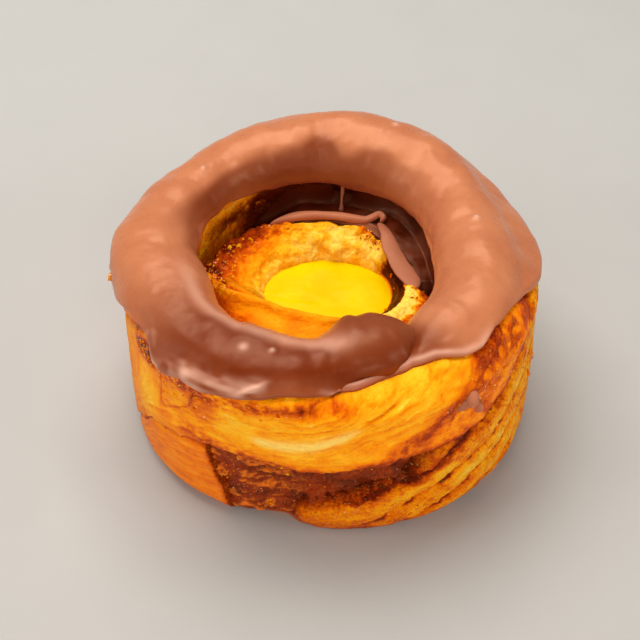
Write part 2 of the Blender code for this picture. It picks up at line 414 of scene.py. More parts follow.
def readLine(name, at):
    # the line's value, with masks of what lies before and after it
    places, values = (np.array(part, float) for part in zip(*strands[name]))
    return np.interp(at, places, values), at < places[0], at > places[-1]


def lineHeight(name, az, before=-10.0, after=70.0):
    # the line's height, with fixed heights on either side of its run
    found, early, late = readLine(name, az)
    return np.where(early, before, np.where(late, after, found))


def seamDepth(az):
    # how far the open seam lies behind the wall
    return 2.6 + 1.5 * ramp(swing(az), -112, -94)


# lower edge of the icing outside: (angle, height), low at the sides and high over the front strand
icingHem = [
    (-180, 39.5), (-165, 42.6), (-155, 47.4), (-145, 49.2), (-141, 48.2), (-138, 44.8), (-134, 45.0),
    (-128, 47.6), (-121, 46.8), (-114, 47.6), (-108, 49.0), (-100, 50.2), (-90, 51.0), (-80, 51.6),
    (-70, 52.8), (-62, 53.6), (-55, 52.4), (-48, 50.2), (-42, 49.6), (-35, 50.8), (-27, 50.2), (-18, 48),
    (-8, 44.5), (10, 40.5), (60, 41.5), (120, 40), (180, 39.5)]


def icingEdge(az):
    # place on the skin where the icing ends outside: the hem's height with some noise
    angles, heights = zip(*icingHem)
    z = np.interp(swing(az), angles, heights)
    z += 0.45 * roundNoise(az, 6.4, 3.0, 5) + 1.7 * roundNoise(az, 4.0, 7.0, 6) * bump(az, 100, 120)
    over = np.clip((z - ring["height"]) / ring["iced"], 0.0, 0.98)
    down = (z - ring["height"]) / ring["placeStep"]
    return np.where(z > ring["height"], np.degrees(np.arcsin(over)), down)


class WallMap:
    # what lies where on the wall; the functions after it add to its relief in mm, browning and darkness

    def __init__(self, az, z, place):
        self.s = swing(az)
        self.z = z
        self.x, self.y = (strands["meanRadius"] * part for part in compass(az))
        self.drop = (icingEdge(az) - place) * ring["placeStep"]
        self.lump = self.grain(6.5, 65, 2)
        self.patch = self.grain(4.5, 71, 3, 1.0, 0.6)
        self.fine = self.grain(1.7, 72, 2, 0.8, 0.6)
        self.crumb = self.grain(1.1, 64, 2, 1.0, 0.65)
        self.porous = ramp(self.fine + 0.6 * self.crumb + 0.4 * self.patch, -0.5, 0.35)
        # the same height made to waver, so that no border is a clean line
        self.zz = z + 0.8 * self.grain(5.0, 41) + 0.45 * self.fine + 0.25 * self.crumb
        self.findStrands()
        self.findSeam()
        grit = self.byStrand(1.0, 0.4) * self.solid * (0.16 * self.crumb + 0.26 * self.fine)
        self.relief = 0.50 * self.lump + grit - (seamDepth(az) + 1.6) * self.recess
        self.bake = self.byStrand(0.42, 0.48, 0.28, 0.44) + self.byStrand(0.10, 0.05) * self.patch
        self.dark = self.recess * mix(0.60, 0.9, ramp(self.s, -108, -92))

    def grain(self, size, seed, octaves=1, tall=1.0, gain=0.55):
        # noise with features about size millimetres wide and size * tall high
        return layeredNoise(self.x / size, self.y / size, self.z / (size * tall), seed, octaves, gain)

    def findStrands(self):
        # masks of the three strands from the creases between them, and the way their layers run
        s, z, zz = self.s, self.z, self.zz
        past = unwind(s, -100.0)
        self.front = np.where(s > 90.0, -10.0, lineHeight("frontCrease", s))
        self.right = lineHeight("rightCrease", past)
        self.back = np.where((s > -146.0) & (s < 50.0), 90.0, lineHeight("backCrease", past, -36.0, 70.0))
        self.lower = lineHeight("lowerTop", s, 2.0, 110.0)
        self.caramel = lineHeight("caramel", s, 99.0, 99.0)
        self.blockEnd = readLine("blockEnd", z)[0] + 0.7 * self.fine
        self.isLow = zz < self.front
        self.isUpper = ~self.isLow & (zz < self.back) & ((s < -10) | (s > 88))
        self.isBlock = self.isLow & (s < self.blockEnd) & (s > -172)
        behind = (self.isLow | (s >= -12.0)) & (zz >= self.right)
        self.isLower = np.where(s >= -25.0, behind, self.isLow & (s >= self.blockEnd))
        # layers of the upper strand fan out towards the right
        lowGrain = readLine("lowGrain", s)[0]
        upper = z - mix(lowGrain, readLine("upperGrain", s)[0] - 9.0, ramp(z, 26, 38))
        self.flow = self.byStrand(z - self.right + 200, z - lowGrain + 61, upper, z - self.lower + 130)

    def findSeam(self):
        # the open seam at the front, down to the tray left of the lower strand's tip
        above = ramp(self.front - self.zz, -0.2, 1.2)
        below = mix(1.0, ramp(self.zz - self.lower, -2.0, 2.4), ramp(self.s, -101, -95))
        self.recess = above * below * ramp(self.s - self.blockEnd, -0.6, 1.4) * (1.0 - ramp(self.s, -68, -57))
        self.solid = 1.0 - self.recess

    def byStrand(self, rest, block, upper=None, lower=None):
        # one value for each strand; the upper and lower ones have the rest's unless given
        upper = rest if upper is None else upper
        lower = rest if lower is None else lower
        others = np.where(self.isBlock, block, np.where(self.isLower, lower, rest))
        return np.where(self.isUpper, upper, others)


def addLayers(wall):
    # shingled layers, each standing out a little further towards its lower edge, and flakes lifted by them
    wave = wall.flow + 1.9 * wall.grain(9.0, 61, 2, 0.6) + 0.8 * wall.grain(3.6, 66)
    step = (wave / strands["leafHeight"]) % 1.0
    arcs = wall.isUpper * bump(wall.s, -78, 20) * window(wall.z, 32, 36, 46, 49)
    strength = wall.byStrand(0.35, 0.30, 0.70) * ramp(wall.grain(8.0, 62), -0.45, 0.35)
    strength = (strength + 1.5 * arcs * ramp(wall.grain(5.0, 67), -0.30, 0.20)) * wall.solid
    edge = bell(step - 0.04, 0.13) + bell(step - 1.04, 0.13)
    crest = bell(step - 0.30, 0.2)
    flake = ridgeNoise(wall.x / 7.5, wall.y / 7.5, wave / 2.1, 74)
    flaking = wall.solid * wall.byStrand(1.0, 0.35) * ramp(wall.patch, -0.5, 0.2)
    wall.crease = ramp(flake, 0.72, 0.97) * flaking
    wall.relief += 0.75 * strength * (0.5 - step) - 0.55 * wall.crease
    # painted shade: darker along each layer's edge, under its ledge; painted highlight: paler on the crest
    # just above it
    wall.bake += strength * ((0.12 + 0.16 * arcs) * edge - 0.12 * crest)


def addCreases(wall):
    # creases between the strands, and the strands swelling between them
    s, z, zz = wall.s, wall.z, wall.zz
    quiet = np.where(s < -118, 0.40, 1.0)
    for line, push in ((wall.front, quiet), (wall.right, 1.2), (wall.back, 1.2)):
        above = zz - line
        upwards = 0.8 * bell(above - 3.4, 2.8) - 1.5 * bell(above, 0.8)
        shape = np.where(above > 0, upwards, -1.9 * bell(above, 2.0))
        wall.relief += push * wall.solid * (np.abs(above) < 12) * shape
    wall.relief += 0.9 * wall.isUpper * bell(z - wall.front - 10.0, 8.0) * ramp(-s, 40, 60)
    wall.relief += 0.7 * wall.isBlock * bell(z - wall.front + 10.0, 9.0)
    for line in (wall.right, wall.back):
        wall.bake += 0.30 * bell(zz - line, 1.5)
    wall.bake += 0.30 * bell(zz - wall.front, 0.7) * (s < -118) * (s > -165)
    wall.bake += 0.25 * bell(s - wall.blockEnd, 1.2) * wall.isLow
    wall.dark += 0.55 * bell(zz - wall.front, 1.1) * window(s, -66, -60, -44, -30)


def addFolds(wall):
    # ridges of the lower strand at the right: long folds one behind the other, with painted shade in their
    # creases and a painted highlight along their tops
    s = wall.s
    folds = wall.isLower * window(s, -86, -66, 20, 90) * (1.0 - 0.45 * ramp(s, -40, -10))
    sway = mix(1.8, 4.0, ramp(s, -50, -20)) * wall.grain(11.0, 44) + 0.7 * wall.fine
    turn = ((wall.z - wall.lower + sway) / strands["foldHeight"]) % 1.0
    ridge = 1.6 * np.sin(np.pi * np.clip(turn * 1.2, 0, 1)) ** 0.7 - 0.9
    wall.relief += folds * wall.solid * (ridge + 0.35 * wall.grain(3.0, 68, 2, 0.5))
    # crease: painted shade, darker and browner down each fold's crease
    crease = folds * bell(turn - 0.93, 0.09) * ramp(wall.grain(6.0, 69), -0.7, -0.1)
    spots = ramp(wall.patch + 0.5 * wall.fine, 0.0, 0.5) * (1.0 - ramp(s, -46, -30))
    # spots are browned specks; the last term is a painted highlight, paler along each ridge's top
    wall.bake += 0.50 * crease + folds * (0.16 * spots - 0.14 * bell(turn - 0.4, 0.22))
    wall.dark += 0.40 * crease


def addUpperMarks(wall):
    # a crack and a pale fold high on the upper strand
    s, z = wall.s, wall.z
    crack = bell(z - readLine("crack", s)[0] - 0.2 * wall.fine, 0.42) * window(s, -80.5, -77, -71.5, -67.5)
    line = readLine("paleFold", s)[0]
    wide = 0.4 + 1.4 * np.sqrt(np.clip(1.0 - ((s + 95.0) / 15.0) ** 2, 0, 1))
    wall.pale = bell(z - line + 0.3 * wall.fine, wide) * window(s, -110, -106, -84, -78)
    under = bell(z - line + wide + 0.5, 0.5) * window(s, -109, -102, -88, -80)
    wall.relief = wall.relief - 1.2 * crack + 0.5 * wall.pale - 0.7 * under
    wall.bake -= 0.2 * wall.pale
    wall.dark += 0.35 * crack


def addFlap(wall):
    # a slanted superellipse: the flap of dough that ends at the upper left, under the icing
    centre, top, slant, halfWide, deep = strands["flap"]
    aside = wall.s - centre
    down = np.minimum(wall.z - top - slant * (aside - 0.2), 0.0)
    reach = (aside / halfWide) ** 4 + (down / deep) ** 4 + 0.12 * wall.fine
    flap = 1.0 - ramp(reach, 0.72, 1.0)
    outline = bell(reach - 0.98, 0.30) * (np.abs(aside) < 9.0)
    wall.relief += 1.2 * flap * (0.75 + 0.25 * wall.lump) - 0.7 * outline
    wall.bake += 0.26 * outline * (0.5 + 0.5 * wall.porous)
    wall.bake += flap * (0.10 * ramp(wall.fine, -0.2, 0.4) - 0.04)


def addBrowning(wall):
    # pale and browned places of each strand, the porous rim under the icing and the caramel edges
    s, z, zz, porous = wall.s, wall.z, wall.zz, wall.porous
    masks = {"upper": wall.isUpper, "lower": wall.isLower, "all": 1.0}
    bake = wall.bake
    for amount, strand, centre, width, height, tall in strands["pale"]:
        bake += amount * masks[strand] * bump(s, centre, width) * bell(z - height, tall)
    bake += 0.10 * wall.isUpper * ramp(-s, 116, 126)
    bake += wall.isLower * (0.10 * bell(z - 2, 5.0) - 0.10 * ramp(s, -50, -30))
    # porous caramelised rim under the icing, darkest at the left
    rim = bell(wall.drop - 3.6 + 0.8 * wall.fine, 2.3) * (0.30 + 0.70 * porous)
    rimWeight = 0.50 * window(-s, 76, 92, 140, 150) + 0.05 * (1.0 - ramp(-s, 76, 92))
    bake += rim * (rimWeight + 0.22 * window(-s, 8, 20, 40, 48))
    bake += 0.17 * window(-s, 113, 118, 128, 132) * bell(z - 38, 4.6) * (0.3 + 0.7 * porous)
    bake += 0.24 * window(-s, 106, 112, 128, 133) * bell(zz - 28.0, 2.4) * porous * wall.isUpper
    # caramel border along the lower edge of the upper strand, and up its turned-under end
    border = bell(zz - wall.front - 0.4, 2.2) * wall.isUpper * ramp(s, -128, -116)
    bake += 0.42 * border * (0.4 + 0.6 * porous)
    tucked = ramp(wall.caramel - zz, -1.4, 1.8) * wall.isUpper * ramp(s, -86, -70)
    bake += tucked * (0.12 + 0.12 * porous)
    bake += 0.54 * bell(zz - wall.caramel, 2.8) * window(s, -80, -62, -38, -26) * (0.60 + 0.40 * porous)
    # the foot, the lower strand's upper edge and speckles at the right
    lowerEdge = bell(zz - wall.lower + 1.0, 1.8) * window(s, -92, -82, -40, -28)
    bake += 0.18 * bell(z - 0.6, 1.8) + 0.30 * lowerEdge * porous * wall.isLow
    wall.bake = bake + 0.24 * window(s, -40, -20, 10, 40) * ramp(wall.fine + wall.patch, 0.15, 0.7)


def addScorch(wall):
    # one burnt patch at the left on top of all browning, then rougher crust where it is browned
    s, z, fine, crumb = wall.s, wall.z, wall.fine, wall.crumb
    away = np.hypot((s + 147.0) / 6.2, (z - 41.2 - 0.1 * (s + 147.0)) / 3.8)
    scorch = np.clip(1.6 * bell(away + 0.25 * fine, 1.0) - 0.2, 0, 1)
    wall.bake = softTop(wall.bake, 0.80, 0.05) + 0.44 * scorch * ramp(fine, -0.9, 0.0) + 0.16 * wall.crease
    wall.dark += 0.70 * scorch * ramp(fine + 0.5 * crumb, -0.4, 0.4)
    wall.browned = np.clip((wall.bake - 0.45) * 2.5, 0, 1)
    wall.relief += 0.50 * wall.browned * (0.8 * crumb + fine) * wall.solid
    edge = bell(wall.zz - wall.caramel, 2.2) * window(s, -74, -58, -40, -30)
    wall.relief += 1.2 * edge * (0.6 + 0.9 * fine + 0.6 * crumb)


def wallField(az, z, place):
    # everything that varies over the wall
    wall = WallMap(az, z, place)
    for addPart in (addLayers, addCreases, addFolds, addUpperMarks, addFlap, addBrowning, addScorch):
        addPart(wall)
    rough = 0.30 + wall.browned * 0.6 + 0.55 * wall.isLower - 0.15 * wall.isBlock + wall.recess
    return wall, np.clip(rough, 0, 1)


wallGrid = {
    "across": 610,         # columns, closest at the front where the strands part
    "crowding": 21.0,      # degrees by which they are moved towards it
    "rows": [(104, 76, 4), (71, 1.5, 28), (-1.0, -213, 101)],    # places: (from, to, count)
    "under": 24,           # rows of the underside
    "coilPitch": 12.0,     # millimetres between the turns that show underneath
}


def makeUnderside(az, footR, notch):
    # a flat base with the coil's turns just showing: a groove on a spiral, and soft hollows
    under = np.linspace(1.0, 0.07, wallGrid["under"])[None, :]
    radius = (footR - 3.0) * under
    turns = radius / wallGrid["coilPitch"] - swing(az) / 360.0
    groove = bell((turns % 1.0) - 0.5, 0.10) * window(under, 0.0, 0.3, 0.90, 1.0)
    x, y = (radius * part for part in compass(az))
    height = 0.9 * groove + 0.5 * ramp(softNoise(x * 0.16, y * 0.16, 1.0, 81), 0.1, 0.8)
    bake = 0.58 + 0.3 * groove + 0.12 * softNoise(x * 0.3, y * 0.3, 2.0, 82)
    foot = joined(footR - 0.7, footR - 1.8 - 0.5 * notch)
    return foot, radius, height, bake


def makeWall():
    # a closed band: under the icing, down the outside, in along the underside and back up inside
    across = wallGrid["across"]
    turn = np.arange(across) / across
    az = (-270.0 + 360.0 * turn + wallGrid["crowding"] * np.sin(2.0 * np.pi * turn))[:, None]
    place = np.concatenate([np.linspace(*run) for run in wallGrid["rows"]])[None, :]
    azGrid, placeGrid = np.broadcast_arrays(az, place)
    radius, height = skinPoint(azGrid, placeGrid, 0.0, 0.3, 1.2)
    # bare dough at the front and right stands almost level with the icing beside it
    s = swing(azGrid)
    proud = 1.5 * window(-s, -24, 8, 104, 128)
    edge = icingEdge(az)
    bare = ramp(edge - placeGrid, -4.0, 10.0) * (1.0 - ramp(-placeGrid, 0, 60))
    hidden = 1.0 - ramp(edge + 14.0 - placeGrid, 0, 12)
    wall, rough = wallField(azGrid, height, placeGrid)
    lift = softTop(wall.relief * (1.0 - hidden), 0.15, 0.35) * ramp(height, -1.0, 2.5)
    lift += proud * bare * ramp(placeGrid, 8, 40)
    outR, outZ = compass(np.maximum(placeGrid, 0.0))
    radius += lift * outR
    height += lift * outZ
    centre, width, rise = strands["notch"]
    notch = rise * bump(s, centre, width)
    height += notch * np.clip(1.0 - height / 14.0, 0, 1)
    footR, flat = radius[:, -1:], np.zeros((across, 1))
    foot, underR, underZ, underBake = makeUnderside(az, footR, notch[:, -1:])
    radius = joined(flat + 20.0, flat + 35.0, radius, foot, underR)
    height = joined(flat + 6.0, flat + 30.0, height, height[:, -1:] * 0.25, flat, underZ)
    after = 2 + wallGrid["under"]

    def extended(values, end=None):
        # the wall's values carried on over the rows before and after it
        last = np.repeat(values[:, -1:], after, 1) if end is None else np.broadcast_to(end, (across, after))
        return joined(values[:, :1], values[:, :1], values, last)

    x, y = compass(az)
    flowHeight = extended(wall.flow)
    flowHeight[:, -wallGrid["under"]:] = 0.5 * underR
    marks = {
        "flow": vectors(8.0 * x, 8.0 * y, flowHeight),
        "bake": extended(np.clip(wall.bake, 0, 1.2), joined(flat + 0.6, flat + 0.6, underBake)),
        "dark": extended(np.clip(wall.dark, 0, 1), 0.0),
        "pale": extended(wall.pale, 0.0),
        "rough": extended(rough),
    }
    return domePiece("pastry_wall", cylinder(az, radius, height), (0, 0, 6.0), (0, 0, 0), marks)


pastryWall = makeWall()
report("wall strands")


# the inside: the lower turn round the basin, the gutter and the upper turn's inner side

coil = {
    # crest of the lower turn round the basin: (angle, radius, height); it dips where its right end stops
    "crest": [
        (-180, 28.0, 38.4), (-169, 24.4, 39.3), (-158, 20.0, 39.5), (-144, 16.6, 39.5), (-120, 14.9, 39.6),
        (-96, 14.5, 39.6), (-74, 15.8, 39.2), (-54, 18.4, 37.8), (-36, 20.6, 36.2), (-18, 21.8, 35.2),
        (-2, 22.2, 34.2), (6, 21.6, 32.6), (18, 20.2, 30.8), (32, 20.0, 31.6), (46, 22.0, 33.9),
        (59, 22.0, 34.6), (84, 21.9, 34.7), (100, 22.4, 34.6), (111, 23.1, 34.6), (123, 24.7, 34.6),
        (137, 25.8, 34.8), (150, 26.5, 35.0), (162, 26.9, 35.4), (171, 27.4, 36.8)],
    "soften": 11,                        # degrees over which the crest's corners are rounded
    "basin": (1.5, 3.2, 15.9, 11.9),     # centre and half widths of its rim
    "basinFloor": 15.3,
    "gutterFloor": 27.0,
    "gutterRises": [(9.0, -102, 88), (5.0, -27, 22)],
    "upperTurn": (208, 192, 176, 158, 136, 112),    # directions on the upper turn from the gutter to its top
    "across": 600,
    # rows of the section by its key points: (from, to, count)
    "rows": [(0, 3, 5), (3, 5, 26), (5, 8.4, 62), (8.4, 12, 26), (12, 15.6, 30), (15.6, 18, 6)],
    # hidden return under the icing and through the middle: (radius, height)
    "hidden": [(41.5, 46.0), (41.0, 36.0), (34.0, 20.0), (18.0, 9.0)],
}


def ellipseReach(az, centreX, centreY, halfX, halfY):
    # how far an ellipse lies from the axis in one direction
    x, y = compass(az)
    dx, dy = x / halfX, y / halfY
    px, py = centreX / halfX, centreY / halfY
    along, size = dx * px + dy * py, dx * dx + dy * dy
    return (along + np.sqrt(along * along - size * (px * px + py * py - 1.0))) / size


def basinRadius(az, z):
    # an elliptical bowl, half as wide at its floor and opening a little above the custard
    rim = ellipseReach(az, *coil["basin"])
    return rim * (0.52 + 0.48 * ramp(z, 15, 28)) + 0.35 * np.maximum(z - 27.0, 0.0)


def crestPoint(az):
    # radius and height of the crest, softened over some degrees so that it has no corners
    places, radii, heights = (np.array(part, float) for part in zip(*coil["crest"]))
    around = np.linspace(-180, 180, 361)
    weights = np.hanning(coil["soften"]) / np.hanning(coil["soften"]).sum()
    reach = coil["soften"] // 2
    read = []
    for values in (radii, heights):
        fine = np.interp(around[:-1], places, values, period=360)
        fine = np.convolve(np.concatenate([fine[-reach:], fine, fine[:reach]]), weights, "valid")
        read.append(np.interp(swing(az), around, np.append(fine, fine[0])))
    return read


def gutterFloor(az):
    # height of the gutter's floor
    return coil["gutterFloor"] + hills(az, coil["gutterRises"])


def innerKeys(az):
    # radius and height of the section's key points, from the basin's floor out to under the icing
    crestR, crestZ = crestPoint(az)
    slopeR = basinRadius(az, 30.0)
    floor = gutterFloor(az)
    turns = []
    for direction in coil["upperTurn"]:
        reach = turnReach(az, direction, 0.0, 0.3, 0.0)
        outR, outZ = compass(direction)
        turns.append((ringRadius(az) + reach * outR, ring["height"] + reach * outZ))
    wallR, wallZ = turns[0]
    outer = wallR + 0.4
    inner = crestR + (outer - crestR) * 0.42
    wide = bump(az, -20, 34)
    bowl = [(basinRadius(az, z), z) for z in (21.0, 26.0, 29.0)]
    points = [(0.30 * basinRadius(az, 16.6), 15.5), (0.85 * basinRadius(az, 16.6), 16.6)] + bowl + [
        (0.30 * crestR + 0.70 * slopeR, 0.45 * crestZ + 0.55 * 30.0),
        (0.72 * crestR + 0.28 * slopeR, crestZ - 0.9),
        (crestR, crestZ),
        (crestR + 1.8 + 2.2 * wide, crestZ - 1.5 + 1.2 * wide),
        (inner - 0.4 + 3.4 * wide, (0.5 - 0.2 * wide) * floor + (0.5 + 0.2 * wide) * crestZ),
        (inner + 0.6 + 2.6 * wide, floor),
        (outer - 0.8 + 0.5 * wide, floor + 0.8),
        (outer, 0.45 * wallZ + 0.55 * floor),
    ]
    return np.stack([vectors(*point) for point in points + turns], -2)


class InnerMap:
    # what lies where inside the ring, by the angle s and by u, which counts the section's key points:
    # 4 is the custard's edge, 7 the crest, 10 and 11 the gutter's floor, 13 and on the upper turn

    def __init__(self, s, u, radius, height):
        self.s, self.u = s, u
        self.across, self.away = compass(s)
        self.x, self.y = radius * self.across, radius * self.away
        self.fine = self.noise(0.62, height, 111, 3, 0.6)
        self.patch = self.noise(0.17, height, 112, 2)
        self.lumps = self.noise(0.30, height, 115, 2)
        self.pore = ridgeNoise(self.x * 0.46, self.y * 0.46, height * 0.46, 113)
        self.flow = height * 0.9 + 0.35 * radius + 0.02 * s * ramp(s, -170, -40)
        self.streak = layeredNoise(2.6 * self.across, 2.6 * self.away, self.flow * 0.62, 114, 3)
        # the places, each 0..1: front strip, the rope's right end, crumb at the back, gutter, upper turn
        around = unwind(s, -120)
        self.strip = window(s, -188, -177, -52, -38) * (s < 0) * window(u, 4.6, 5.4, 9.6, 10.6)
        self.stub = window(s, -46, -34, 4, 11) * window(u, 5.0, 5.6, 9.0, 10.0)
        self.back = window(around, 30, 44, 176, 188) * window(u, 2.4, 3.0, 8.6, 9.8)
        self.gutter = window(u, 8.6, 9.6, 12.4, 13.2)
        self.upper = window(u, 11.6, 12.6, 15.6, 16.4)
        # chocolate in the gap between the custard and the stub, crust and loose crumb at the left
        wet = window(s + 4.0 * self.fine, -34, -26, 30, 38) * ramp(u, 3.4, 4.0)
        covered = ramp(u + 0.35 * self.fine, 5.9, 6.5) * (1.0 - ramp(s, 5, 10))
        self.gap = wet * (1.0 - covered) * (1.0 - ramp(u, 11, 12))
        self.crustSide = np.maximum(ramp(around, 98, 118), bump(s, 56, 22)) * ramp(u, 5.4, 6.6)
        self.crumbSide = bump(s, 184, 16) * window(u, 5.6, 6.6, 10, 11)
        self.left = ramp(around, 96, 150)
        crust = bell(u - 7.4 + 0.3 * self.left, 0.75 + 1.3 * self.left)
        self.crust = crust * mix(0.25, 1.0, self.crustSide)

    def noise(self, scale, height, seed, octaves, gain=0.5):
        # noise with features about 1 / scale millimetres wide
        return layeredNoise(self.x * scale, self.y * scale, height * scale, seed, octaves, gain)


def innerRelief(inner):
    # millimetres of unevenness: pores and lumps in the crumb, streaks along the strip, a sunken gap
    u, fine, patch = inner.u, inner.fine, inner.patch
    crumb = mix(0.14, 0.45, inner.crustSide) * fine - mix(0.35, 0.95, inner.crustSide) * (inner.pore - 0.6)
    crumb += (patch + 1.1 * inner.lumps) * ramp(u, 3.2, 5.6)
    crumb += 0.6 * bell(u - 4.4, 0.6) * (0.5 + inner.lumps + 0.5 * fine)
    relief = inner.back * crumb
    relief += inner.strip * (0.35 * inner.streak + 0.5 * patch + 0.5 * bell(u - 7.6, 0.7))
    relief += inner.stub * (0.25 * fine + 0.8 * bell(u - 6.9, 1.0) - 0.3 * (inner.pore - 0.6))
    relief += 0.9 * inner.gutter * (fine + 0.6 * patch) - 0.8 * inner.gap * (0.5 + 0.5 * fine)
    relief += inner.upper * (0.5 * patch + 0.5 * inner.streak + 0.25 * fine)
    relief += inner.crumbSide * (0.7 * fine - 0.9 * (inner.pore - 0.5))
    return relief * window(u, 2.6, 3.6, 16.0, 17.0)


def innerBake(inner):
    # browning, place by place: pale crumb with a browned rim, a golden strip, a pale stub with a dark edge
    s, u, fine, patch, left = inner.s, inner.u, inner.fine, inner.patch, inner.left
    porous = 0.35 + 0.65 * ramp(fine + 0.5 * patch, -0.6 + 0.2 * (1 - left), 0.4)
    crumb = 0.07 + 0.08 * ramp(fine, -0.2, 0.5) + mix(0.62, 0.40, left) * inner.crust * porous
    bake = mix(0.30 + 0.06 * patch, crumb + 0.45 * left * ramp(u, 4.0, 6.0), inner.back)
    strip = 0.34 + 0.10 * inner.streak + 0.08 * patch + 0.22 * ramp(u, 8.2, 9.6)
    bake = mix(bake, strip + 0.20 * ramp(fine, 0.25, 0.6) * bump(s, -78, 30), inner.strip)
    edge = np.maximum(ramp(u + 0.6 * fine, 7.3, 8.1), ramp(s + 4.0 * fine, -2, 6) * ramp(u, 5.6, 6.4))
    bake = mix(bake, 0.02 + 0.06 * fine + 0.66 * edge, inner.stub)
    bake += 0.35 * inner.crumbSide * ramp(fine, -0.3, 0.3)
    return mix(bake, 0.12 + 0.20 * fine + 0.16 * inner.streak, inner.upper)


def innerDark(inner):
    # chocolate in the gap and the gutter, and its stains on the upper turn at the right
    wetness = ramp(compass(inner.s - 60)[0], -0.1, 0.5)
    dark = 0.95 * inner.gap
    dark += inner.gutter * mix(0.15, 1.0, wetness) * ramp(inner.fine + inner.patch, -0.9, 0.1)
    stained = ramp(compass(inner.s - 52)[0], 0.22, 0.60)
    stains = mix(0.12 + 0.30 * ramp(inner.patch, -0.1, 0.4), 0.75, stained)
    return dark * mix(1.0, 0.45, inner.left) + inner.upper * stains


def makeInside():
    # the section's spline carried round the axis, with relief along its own normal
    az = np.linspace(-180, 180, coil["across"], endpoint=False)
    rows = [np.linspace(*run)[:-1] for run in coil["rows"]]
    rows = np.concatenate(rows + [[coil["rows"][-1][1]]])
    section = splineRows(innerKeys(az), rows)
    radius, height = section[..., 0], section[..., 1]
    slopeR, slopeZ = sectionSlope(radius, height)
    inner = InnerMap(swing(az)[:, None], rows[None, :], radius, height)
    relief = innerRelief(inner)
    radius -= relief * slopeZ
    height += relief * slopeR
    # layers run round the ring, and through the crumb in all directions
    even = np.clip(inner.back + inner.stub + inner.crumbSide, 0, 1)[..., None]
    layers = vectors(3.2 * inner.across, 3.2 * inner.away, inner.flow)
    flow = mix(layers, vectors(0.5 * inner.x, 0.5 * inner.y, 0.5 * height), even)
    # the back crumb runs in behind the front strip at the left
    tuck = bell(inner.u - 6.3, 0.35) * bump(inner.s, -168, 26)
    radius += 0.9 * tuck * slopeZ
    height -= 0.9 * tuck * slopeR
    bake = innerBake(inner) + 0.4 * tuck
    rough = 0.15 + 0.6 * inner.back * inner.crust + 0.7 * inner.crumbSide + 0.3 * inner.upper
    for hiddenR, hiddenZ in coil["hidden"]:
        radius = np.append(radius, np.full((coil["across"], 1), hiddenR), 1)
        height = np.append(height, np.full((coil["across"], 1), hiddenZ), 1)
    marks = {
        "flow": flow, "bake": np.clip(bake, 0, 1.2), "dark": np.clip(innerDark(inner), 0, 1),
        "pale": np.zeros(bake.shape), "rough": np.clip(rough, 0, 1),
    }
    repeats = len(coil["hidden"])
    marks = {key: joined(value, *[value[:, -1:]] * repeats) for key, value in marks.items()}
    grid = cylinder(az[:, None], radius, height)
    return domePiece("pastry_inside", grid, (0, 0, coil["basinFloor"]), (0, 0, 8.0), marks)


pastryInside = makeInside()
report("inner coil, basin and gutter")

# milk chocolate icing over the upper turn

icing = {
    "coat": 2.3,
    "lip": 1.5,            # how round its edges are
    "across": 660,
    "rowsOut": 124,
    "rowsIn": 14,
    # thicker at the lower left, where it ran down and set: (extra millimetres, angle, width)
    "beads": [(1.9, -124, 20), (-0.35, -96, 12), (-0.35, -60, 22), (-0.5, -148, 12), (-0.2, -20, 20)],
    # soft waves: (millimetres, size round the ring, size round the rope, seed)
    "waves": [(0.55, 4.2, 0.9, 211), (0.34, 8, 1.6, 212), (0.12, 17, 3.6, 217), (0.03, 36, 7.5, 213)],
    # trapped air: (angle, place on the rope, millimetres across, height)
    "bubbles": [
        (-114.5, 86, 1.7, 1.0), (-105.5, 92, 1.1, 0.7), (7, 88, 1.5, 0.6), (141, 96, 1.2, 0.35),
        (64, 74, 1.4, 0.35)],
}


def icingInner(az):
    # place where the icing ends inside the ring
    edge = 184.0 + hills(az, [(16.0, 84, 90), (-16.0, 158, 44)])
    return edge + 5.0 * roundNoise(az, 3.0, 1.0, 201) + 4.0 * roundNoise(az, 8.1, 2.0, 202)


def icingCoat(az, place, fromOuter, near):
    # thickness: round lips, a bead at the lower left, waves, dents on the free end, a curl and bubbles;
    # light, also returned, is a painted highlight on the curl and bubbles
    left, aroundRope = -swing(az), np.radians(place)
    bead = hills(az, icing["beads"])
    rim = 1.0 - np.clip(near / icing["lip"], 0, 1)
    coat = icing["coat"] - 0.25 + bead * bell(fromOuter - 2.2, 2.4)
    coat *= np.sqrt(np.clip(1.0 - rim ** 2, 0, 1)) * (0.86 + 0.14 * ramp(near, 0, 4))
    waves = 0.0
    for tall, size, turn, seed in icing["waves"]:
        waves += tall * roundNoise(az, size, turn * aroundRope, seed)
    tailPart = window(left, 46, 58, 128, 150) * ramp(place, 78, 100)
    waves += 0.45 * tailPart * roundNoise(az, 9, 1.6 * aroundRope, 214)
    coat += (waves - 0.25) * ramp(near, 0.3, 3.0)
    # lumps where it set against the inner side at the back
    backInner = bump(az, 104, 84) * window(place, 112, 132, 180, 200)
    coat += 0.55 * backInner * roundNoise(az, 6.5, 1.3 * aroundRope, 215)
    curl = bell(fromOuter - 2.8 - 0.30 * (108.0 - left), 0.7) * bump(az, -108, 5.5)
    coat = softTop(coat, 2.15 + 1.2 * np.maximum(bead, 0), 0.12) + 0.9 * curl
    # painted highlight on the curl; each bubble adds its own below
    light = 0.8 * curl
    for centre, at, wide, tall in icing["bubbles"]:
        aside = np.radians(swing(az - centre)) * 41.0
        down = (place - at) * ring["placeStep"]
        dome = np.exp(-((aside ** 2 + down ** 2) / (0.6 * wide) ** 2))
        coat += tall * dome
        light += 0.8 * dome
    return coat, light


